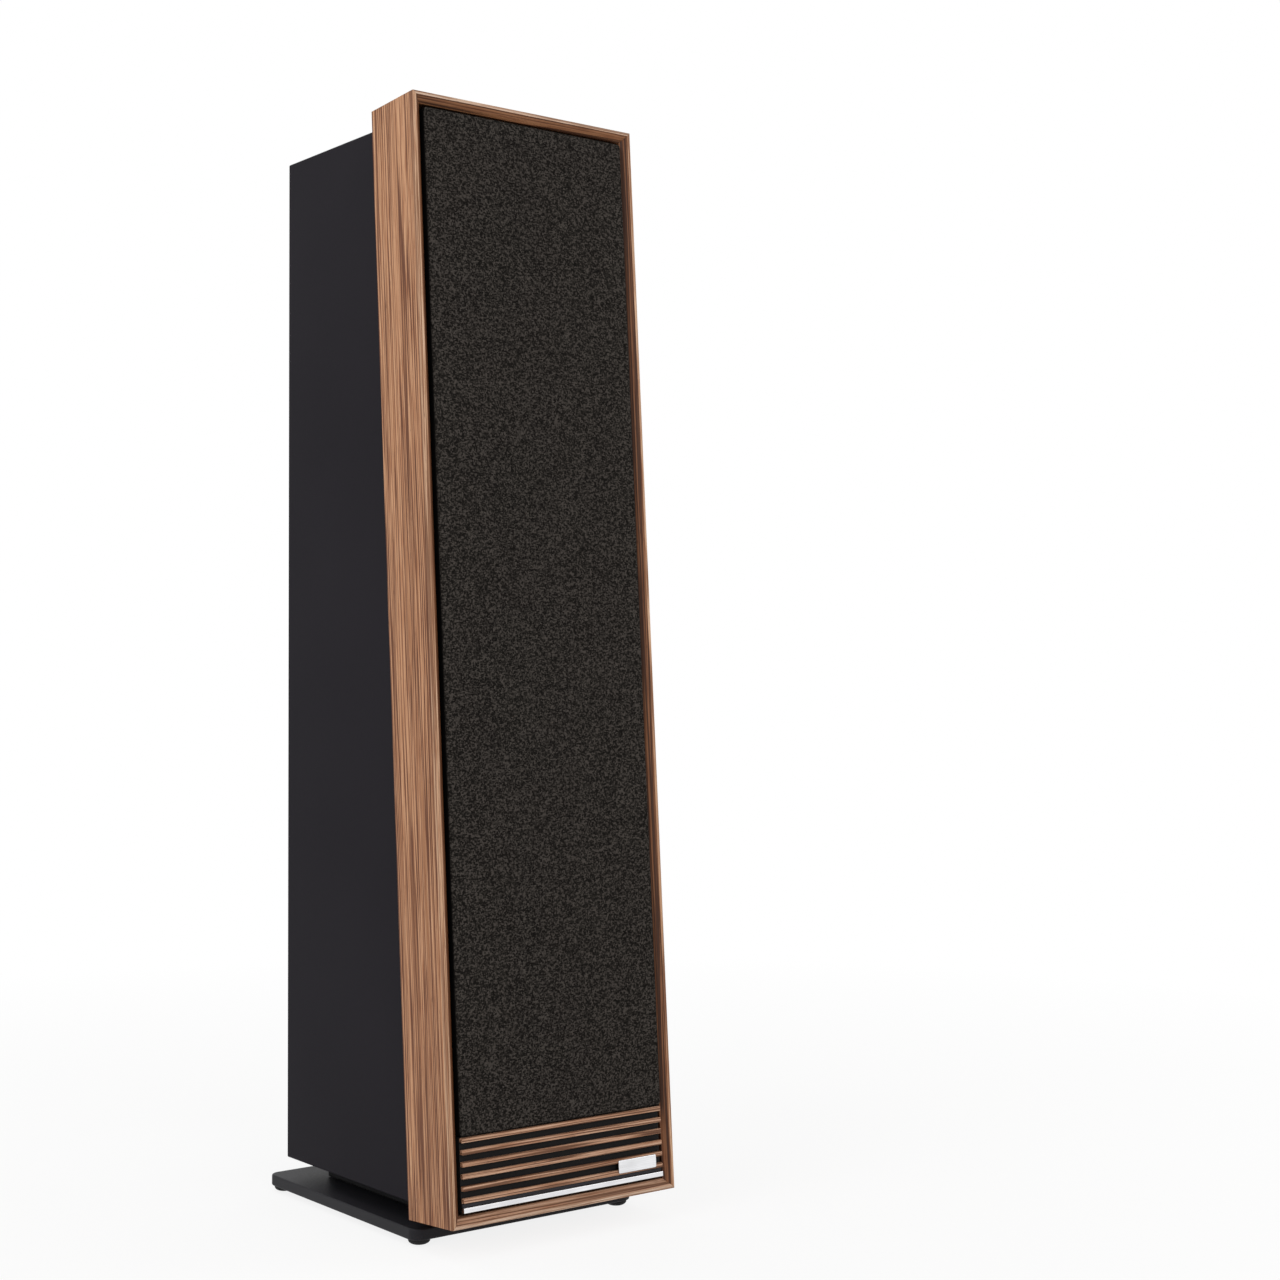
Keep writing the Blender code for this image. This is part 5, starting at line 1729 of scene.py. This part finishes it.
@dataclass
class Tweeter(SubAssembly):
    """Soft-dome driver on a flared faceplate."""

    throat: float = 0.0169
    mouth: float = 0.0259
    top: float = -0.0003
    bottom: float = -0.0043
    throat_land: float = 0.0007
    flare_steps: int = 12
    edge_radius: float = 0.0008
    dome_radius: float = 0.013
    dome_rise: float = 0.005
    dome_foot: float = -0.004
    dome_angle: float = 6.0
    dome_steps: int = 16
    # Width and rise of the half roll around the dome.
    half_roll: Span = (0.0035, 0.0012)
    roll_angle: float = 172.0
    roll_steps: int = 10
    skin: float = 0.0006
    magnet: Span = (0.2, 0.8)
    screw_count: int = 4
    screw_first: float = 45.0
    screw_circle: float = 0.0440
    screw_radius: float = 0.0024

    def dome_profile(self) -> Profile:
        """Give the section of the dome and its half roll.

        Returns:
            Radius and height of each point.
        """
        width, rise = self.half_roll
        foot = self.dome_foot
        outer = (self.dome_radius, self.dome_rise)
        crown = arc((0.0, foot), outer, 90, self.dome_angle, self.dome_steps)
        crown[0] = (0.0, crown[0][1])
        middle = (self.dome_radius + width / 2, foot)
        over = crown + arc(middle, (width / 2, rise), self.roll_angle, 0, self.roll_steps)
        return over + [(radius, height - self.skin) for radius, height in reversed(over)]

    def build(self) -> None:
        """Build and dress the driver."""
        place = FRONT.driver_axes("tweeter_faceplate")
        outer = half_width("tweeter_faceplate")
        flare_low = self.bottom + self.throat_land
        radii = (self.throat - self.mouth, self.top - flare_low)
        eased = self.edge_radius
        profile = [
            (self.throat, self.bottom),
            *arc((self.mouth, flare_low), radii, 0, 90, self.flare_steps),
            *arc((outer - eased, self.top - eased), (eased, eased), 90, 0),
            (outer, self.bottom),
        ]
        plate = turned("tweeter_faceplate_flared", profile, place)
        self.put(plate, BLACK_ABS, "cabinet", "black_plastic", ["tweeter_faceplate"])
        dome = turned("tweeter_dome_formed", self.dome_profile(), place, closed=False)
        self.put(dome, COATED_SILK, "tweeter_diaphragm", "tweeter_silk", ["tweeter_dome"])
        lifted = place @ Matrix.Translation((0, 0, self.top))
        spots = circle_spots(self.screw_count, self.screw_circle, self.screw_first)
        ScrewRow(self.screw_radius).build("tweeter_screws", spots, lifted)
        self.keep("tweeter_motor", motor_finish("tweeter_motor", self.magnet))


@dataclass
class Port(SubAssembly):
    """Flared reflex port in the rear panel."""

    mouth: float = 0.036
    bore: float = 0.027
    flare_depth: float = 0.0253
    flare_steps: int = 20
    flange_top: float = 0.0033
    flange_back: float = 0.0003
    flange_edge: float = 0.0016
    flange_steps: int = 5
    # Radius and inner end of the collar; radius, neck and inner end of the tube.
    collar: Span = (0.0385, -0.0147)
    tube: Sizes = (0.0295, -0.037, -0.130)

    def build(self) -> None:
        """Build the port and dress it."""
        outer = half_width("port_tube")
        radius, neck, end = self.tube
        collar, collar_end = self.collar
        eased = self.flange_edge
        lip = (outer - eased, self.flange_top - eased)
        flare = (self.mouth, self.flange_top - self.flare_depth)
        radii = (self.bore - self.mouth, self.flare_depth)
        profile = [
            (outer, self.flange_back),
            *arc(lip, (eased, eased), 0, 90, self.flange_steps),
            *arc(flare, radii, 90, 0, self.flare_steps),
            (self.bore, end),
            (radius, end),
            (radius, neck),
            (collar, collar_end),
            (collar, self.flange_back),
        ]
        piece = turned("port_tube_flared", profile, rear_axes("port_tube"))
        self.put(piece, BLACK_ABS, "cabinet", "black_plastic", ["port_tube"])


class Polarity(Enum):
    """The two terminals."""

    RED = "red"
    BLACK = "black"


@dataclass
class Terminals(SubAssembly):
    """Terminal plate with two threaded posts, washers and fluted knobs."""

    plate_corner: float = 0.004
    plate_steps: int = 8
    plate_edge: float = 0.0006
    screw_inset: float = 0.006
    screw_radius: float = 0.0024
    stud: float = 0.0026
    # Radius, foot and top of the collar.
    collar: Sizes = (0.0075, 0.0031, 0.0051)
    collar_edge: float = 0.0003
    stud_end: float = 0.0176
    stud_tail: float = -0.024
    # Pitch and depth of the thread; radius and depth of the plug socket.
    thread: Span = (0.0008, 0.00022)
    socket: Span = (0.0018, 0.0080)
    hole: float = 0.0030
    hole_reach: float = 0.01
    washer_edge: float = 0.0002
    flutes: int = 12
    flute_depth: float = 0.0006
    # Points of the knob's section that follow the flutes.
    fluted_points: range = range(1, 9)
    knob_chamfer: float = 0.0008
    knob_band: float = 0.2
    # Length, width and height of a sign's bar, and its distance above the post.
    mark: Sizes = (0.006, 0.0011, 0.0004)
    mark_rise: float = 0.018

    def build(self) -> None:
        """Build the plate and both terminals, and dress them."""
        low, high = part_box("terminal_plate")
        form = rounded_block(low, high, 1, self.plate_corner, self.plate_steps)
        plate = solid("terminal_plate_moulded", form, Matrix())
        ease(plate, self.plate_edge)
        holes = []
        for pole in Polarity:
            axes = rear_axes(f"terminal_post_{pole.value}")
            holes.append(plug(f"post_hole_{pole.value}", self.hole, self.hole_reach, axes))
        cut_away(plate, holes)
        self.put(plate, BLACK_ABS, "cabinet", "black_plastic", ["terminal_plate"])
        axes = rear_axes("terminal_plate")
        face = axes @ Matrix.Translation((0, 0, high[1] - axes.translation.y))
        across = (high[0] - low[0]) / 2 - self.screw_inset
        up = (high[2] - low[2]) / 2 - self.screw_inset
        spots = [(x, y) for x in (-across, across) for y in (-up, up)]
        ScrewRow(self.screw_radius).build("terminal_screws", spots, face)
        for pole in Polarity:
            self.terminal(pole, face)

    def signs(self, pole: Polarity, face: Matrix, across: float) -> None:
        """Build the raised plus or minus sign above a post.

        Args:
            pole: Terminal that the sign belongs to.
            face: Axes on the plate's face, Z outward and Y down.
            across: Place of the post from the plate's middle.
        """
        length, width, rise = self.mark
        sides = [(length, width)]
        if pole is Polarity.RED:
            sides.append((width, length))
        form = bmesh.new()
        for wide, tall in sides:
            low = (across - wide / 2, -self.mark_rise - tall / 2, -rise)
            high = (across + wide / 2, -self.mark_rise + tall / 2, rise)
            block(low, high, form)
        piece = solid(f"terminal_sign_{pole.value}", form, face)
        self.put(piece, SIGN_INK, "cabinet")

    def post_profile(self) -> Profile:
        """Give the section of a threaded post with its collar and plug socket.

        Returns:
            Radius and height of each point.
        """
        pitch, depth = self.thread
        wide, low, high = self.collar
        eased = self.collar_edge
        radius, deep = self.socket
        profile = [(0.0, self.stud_tail), (self.stud, self.stud_tail)]
        profile += [(self.stud, low), (wide, low), (wide, high - eased), (wide - eased, high)]
        height = high
        while height < self.stud_end - 2 * pitch:
            profile += [(self.stud, height), (self.stud - depth, height + pitch / 2)]
            height += pitch
        return profile + [
            (self.stud, self.stud_end - pitch),
            (self.stud - depth, self.stud_end),
            (radius, self.stud_end),
            (radius, self.stud_end - deep),
            (0.0, self.stud_end - deep),
        ]

    def washer_profile(self, radius: float, low: float, high: float) -> Profile:
        """Give a washer's section.

        Args:
            radius: Radius of the washer.
            low: Height of its inner end.
            high: Height of its outer end.

        Returns:
            Radius and height of each point.
        """
        eased = self.washer_edge
        return [
            (self.hole, low),
            (radius - eased, low),
            (radius, low + eased),
            (radius, high - eased),
            (radius - eased, high),
            (self.hole, high),
        ]

    def knob_profile(self, radius: float, low: float, high: float) -> Profile:
        """Give a knob's section, with a groove over its lower band.

        Args:
            radius: Radius of the knob.
            low: Height of its inner end.
            high: Height of its outer end.

        Returns:
            Radius and height of each point.
        """
        cut = self.knob_chamfer
        band = (high - low) * self.knob_band
        return [
            (self.hole, low),
            (radius - cut, low),
            (radius, low + cut),
            (radius, low + band),
            (radius - cut / 2, low + band + cut / 2),
            (radius - cut / 2, low + band + cut),
            (radius, low + band + cut * 1.5),
            (radius, high - cut),
            (radius - cut, high),
            (self.hole + cut / 2, high),
            (self.hole, high - cut / 2),
        ]

    def terminal(self, pole: Polarity, face: Matrix) -> None:
        """Build one post with its washer, knob and sign.

        Args:
            pole: Terminal that is built.
            face: Axes on the plate's face, Z outward.
        """
        name = pole.value
        node = f"terminal_post_{name}"
        axes = rear_axes(node)
        rear = axes.translation.y
        self.signs(pole, face, axes.translation.x)
        post = turned(f"{node}_threaded", self.post_profile(), axes, SMALL_STEPS, False)
        self.put(post, GOLD_BRASS, "cabinet", "plated_brass", [node])
        node = f"terminal_washer_{name}"
        low, high = (corner[1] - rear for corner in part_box(node))
        profile = self.washer_profile(half_width(node), low, high)
        washer = turned(f"{node}_turned", profile, axes, SMALL_STEPS)
        self.put(washer, GOLD_BRASS, f"{name}_clamp", "plated_brass", [node])
        node = f"terminal_knob_{name}"
        low, high = (corner[1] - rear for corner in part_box(node))
        radius = half_width(node)
        depth = self.flute_depth / radius

        def fluted(point: int, angle: float) -> float:
            """Give the share of the radius that the flutes leave."""
            wave = 0.5 - 0.5 * math.cos(self.flutes * angle)
            return 1 - depth * wave if point in self.fluted_points else 1.0

        profile = self.knob_profile(radius, low, high)
        knob = turned(f"{node}_fluted", profile, axes, shape=fluted)
        finish = RED_ABS if pole is Polarity.RED else BLACK_ABS
        self.put(knob, finish, f"{name}_knob", f"{name}_plastic", [node])


class Insides(SubAssembly):
    """Crossover board and wires inside the cabinet."""

    def build(self) -> None:
        """Dress the board and the wires."""
        self.keep("crossover_board", CIRCUIT_BOARD)
        for wire in ("woofer_upper", "woofer_lower", "tweeter"):
            self.keep(f"wire_{wire}", WIRE_VINYL)


@dataclass(frozen=True)
class Lamp:
    """A large soft studio lamp."""

    name: str
    place: Sizes
    size: Span
    level: float

    def light(self, aim: Vector) -> None:
        """Hang the lamp so that a white card at the aim renders at its level.

        Args:
            aim: Point that the lamp faces.
        """
        data = bpy.data.lights.new(self.name, "AREA")
        data.shape = "RECTANGLE"
        data.size, data.size_y = self.size
        way = aim - Vector(self.place)
        data.energy = self.level * math.pi**2 * way.length_squared
        lamp = bpy.data.objects.new(self.name, data)
        lamp.location = self.place
        lamp.rotation_euler = way.to_track_quat("-Z", "Y").to_euler()
        bpy.context.scene.collection.objects.link(lamp)


@dataclass
class Studio:
    """Pale floor, soft lamps, white surroundings and the camera."""

    eye: Sizes = (-0.9902, -1.5060, 0.4517)
    yaw: float = 38.127
    pitch: float = 1.066
    roll: float = -0.077
    lens: float = 58.35
    sensor: float = 36.0
    clip_start: float = 0.01
    aim: Sizes = (0.0, -0.02, 0.46)
    floor_radius: float = 9.0
    floor_drop: float = 0.0002
    paper_tints: tuple[str, str] = ("F4F4F3", "F8F8F7")
    paper_mm: Sizes = (4.0, 4.0, 4.0)
    paper_roughness: float = 0.9
    near: float = 0.5
    away: float = 1.6
    haze: float = 0.85
    ambient: float = 0.45
    lamps: tuple[Lamp, ...] = (
        Lamp("lamp_left", (-2.3, -0.5, 1.5), (1.6, 2.0), 0.34),
        Lamp("lamp_front", (-0.3, -3.0, 1.9), (1.8, 1.4), 0.25),
        Lamp("lamp_right", (2.2, -1.4, 1.5), (1.4, 1.8), 0.18),
        Lamp("lamp_above", (-0.3, 0.7, 2.6), (1.8, 1.8), 0.26),
    )

    def camera(self) -> None:
        """Place the camera where the object was seen from."""
        yaw, pitch, roll = (math.radians(a) for a in (self.yaw, self.pitch, self.roll))
        right = Vector((math.cos(yaw), -math.sin(yaw), 0))
        level = math.cos(pitch)
        ahead = Vector((math.sin(yaw) * level, math.cos(yaw) * level, math.sin(pitch)))
        upward = right.cross(ahead)
        level_right = right * math.cos(roll) + upward * math.sin(roll)
        level_up = upward * math.cos(roll) - right * math.sin(roll)
        data = bpy.data.cameras.new("camera")
        data.lens = self.lens
        data.sensor_width = self.sensor
        data.clip_start = self.clip_start
        camera = bpy.data.objects.new("camera", data)
        turn_to = Matrix((level_right, level_up, -ahead)).transposed().to_4x4()
        camera.matrix_world = Matrix.Translation(self.eye) @ turn_to
        bpy.context.scene.collection.objects.link(camera)
        bpy.context.scene.camera = camera

    def seen(self, tree: Tree) -> Socket:
        """Tell rays that show the background from rays that light the object.

        Args:
            tree: Node tree of the floor or the world.

        Returns:
            Socket that is 1 for camera, mirror and glass rays.
        """
        path = add_node(tree, "LightPath")
        found = path.outputs["Is Camera Ray"]
        for kind in ("Is Glossy Ray", "Is Transmission Ray"):
            inputs = {0: found, 1: path.outputs[kind]}
            found = add_node(tree, "Math", inputs, operation="MAXIMUM").outputs[0]
        return found

    def world(self) -> None:
        """Light the room softly and show it white."""
        world = bpy.data.worlds.new("studio")
        world.use_nodes = True
        tree = world.node_tree
        tree.nodes.clear()
        soft = add_node(tree, "Background", {"Color": linear(WHITE), "Strength": self.ambient})
        white = add_node(tree, "Background", {"Color": linear(WHITE), "Strength": 1.0})
        choice = add_node(tree, "MixShader", {0: self.seen(tree), 1: soft, 2: white})
        add_node(tree, "OutputWorld", {"Surface": choice})
        bpy.context.scene.world = world

    def floor(self) -> None:
        """Lay a pale paper floor that fades to white away from the object."""
        form = bmesh.new()
        bmesh.ops.create_circle(form, cap_ends=True, radius=self.floor_radius, segments=FINE_STEPS)
        floor = solid("floor", form, Matrix.Translation((0, 0, -self.floor_drop)))
        material = bpy.data.materials.new("seamless_paper_pale")
        material.use_nodes = True
        tree = material.node_tree
        tree.nodes.clear()
        place = add_node(tree, "TexCoord").outputs["Object"]
        cell = sized(tree, place, self.paper_mm)
        fibre = add_node(tree, "TexNoise", {"Vector": cell, "Scale": 1})
        stops = tuple(zip(NOISE_SPAN, self.paper_tints))
        tint = add_node(tree, "ValToRGB", {"Fac": fibre}, stops)
        inputs = {"Base Color": tint, "Roughness": self.paper_roughness, "Specular IOR Level": 0.0}
        paper = add_node(tree, "BsdfPrincipled", inputs)
        white = add_node(tree, "Emission", {"Color": linear(WHITE), "Strength": 1.0})
        span = add_node(tree, "VectorMath", {0: place}, operation="LENGTH").outputs[1]
        inputs = {"Value": span, "From Min": self.near, "From Max": self.away}
        fade = add_node(tree, "MapRange", {**inputs, "To Min": self.haze, "To Max": 1.0})
        share = add_node(tree, "Math", {0: fade, 1: self.seen(tree)}, operation="MULTIPLY")
        mixed = add_node(tree, "MixShader", {0: share, 1: paper, 2: white})
        add_node(tree, "OutputMaterial", {"Surface": mixed})
        floor.data.materials.append(material)

    def build(self) -> None:
        """Set the whole studio."""
        self.camera()
        self.world()
        self.floor()
        for lamp in self.lamps:
            lamp.light(Vector(self.aim))
        bpy.context.scene.view_settings.view_transform = "Standard"


def main() -> None:
    """Build the studio and every sub-assembly, in order."""
    logging.basicConfig(level=logging.INFO, format="%(message)s")
    Studio().build()
    for assembly in (
        Cabinet(),
        Surround(),
        Base(),
        Baffle(),
        Woofer("upper"),
        Woofer("lower"),
        Tweeter(),
        Grille(),
        Port(),
        Terminals(),
        Insides(),
    ):
        LOG.info("building %s", type(assembly).__name__)
        assembly.build()


if __name__ == "__main__":
    main()
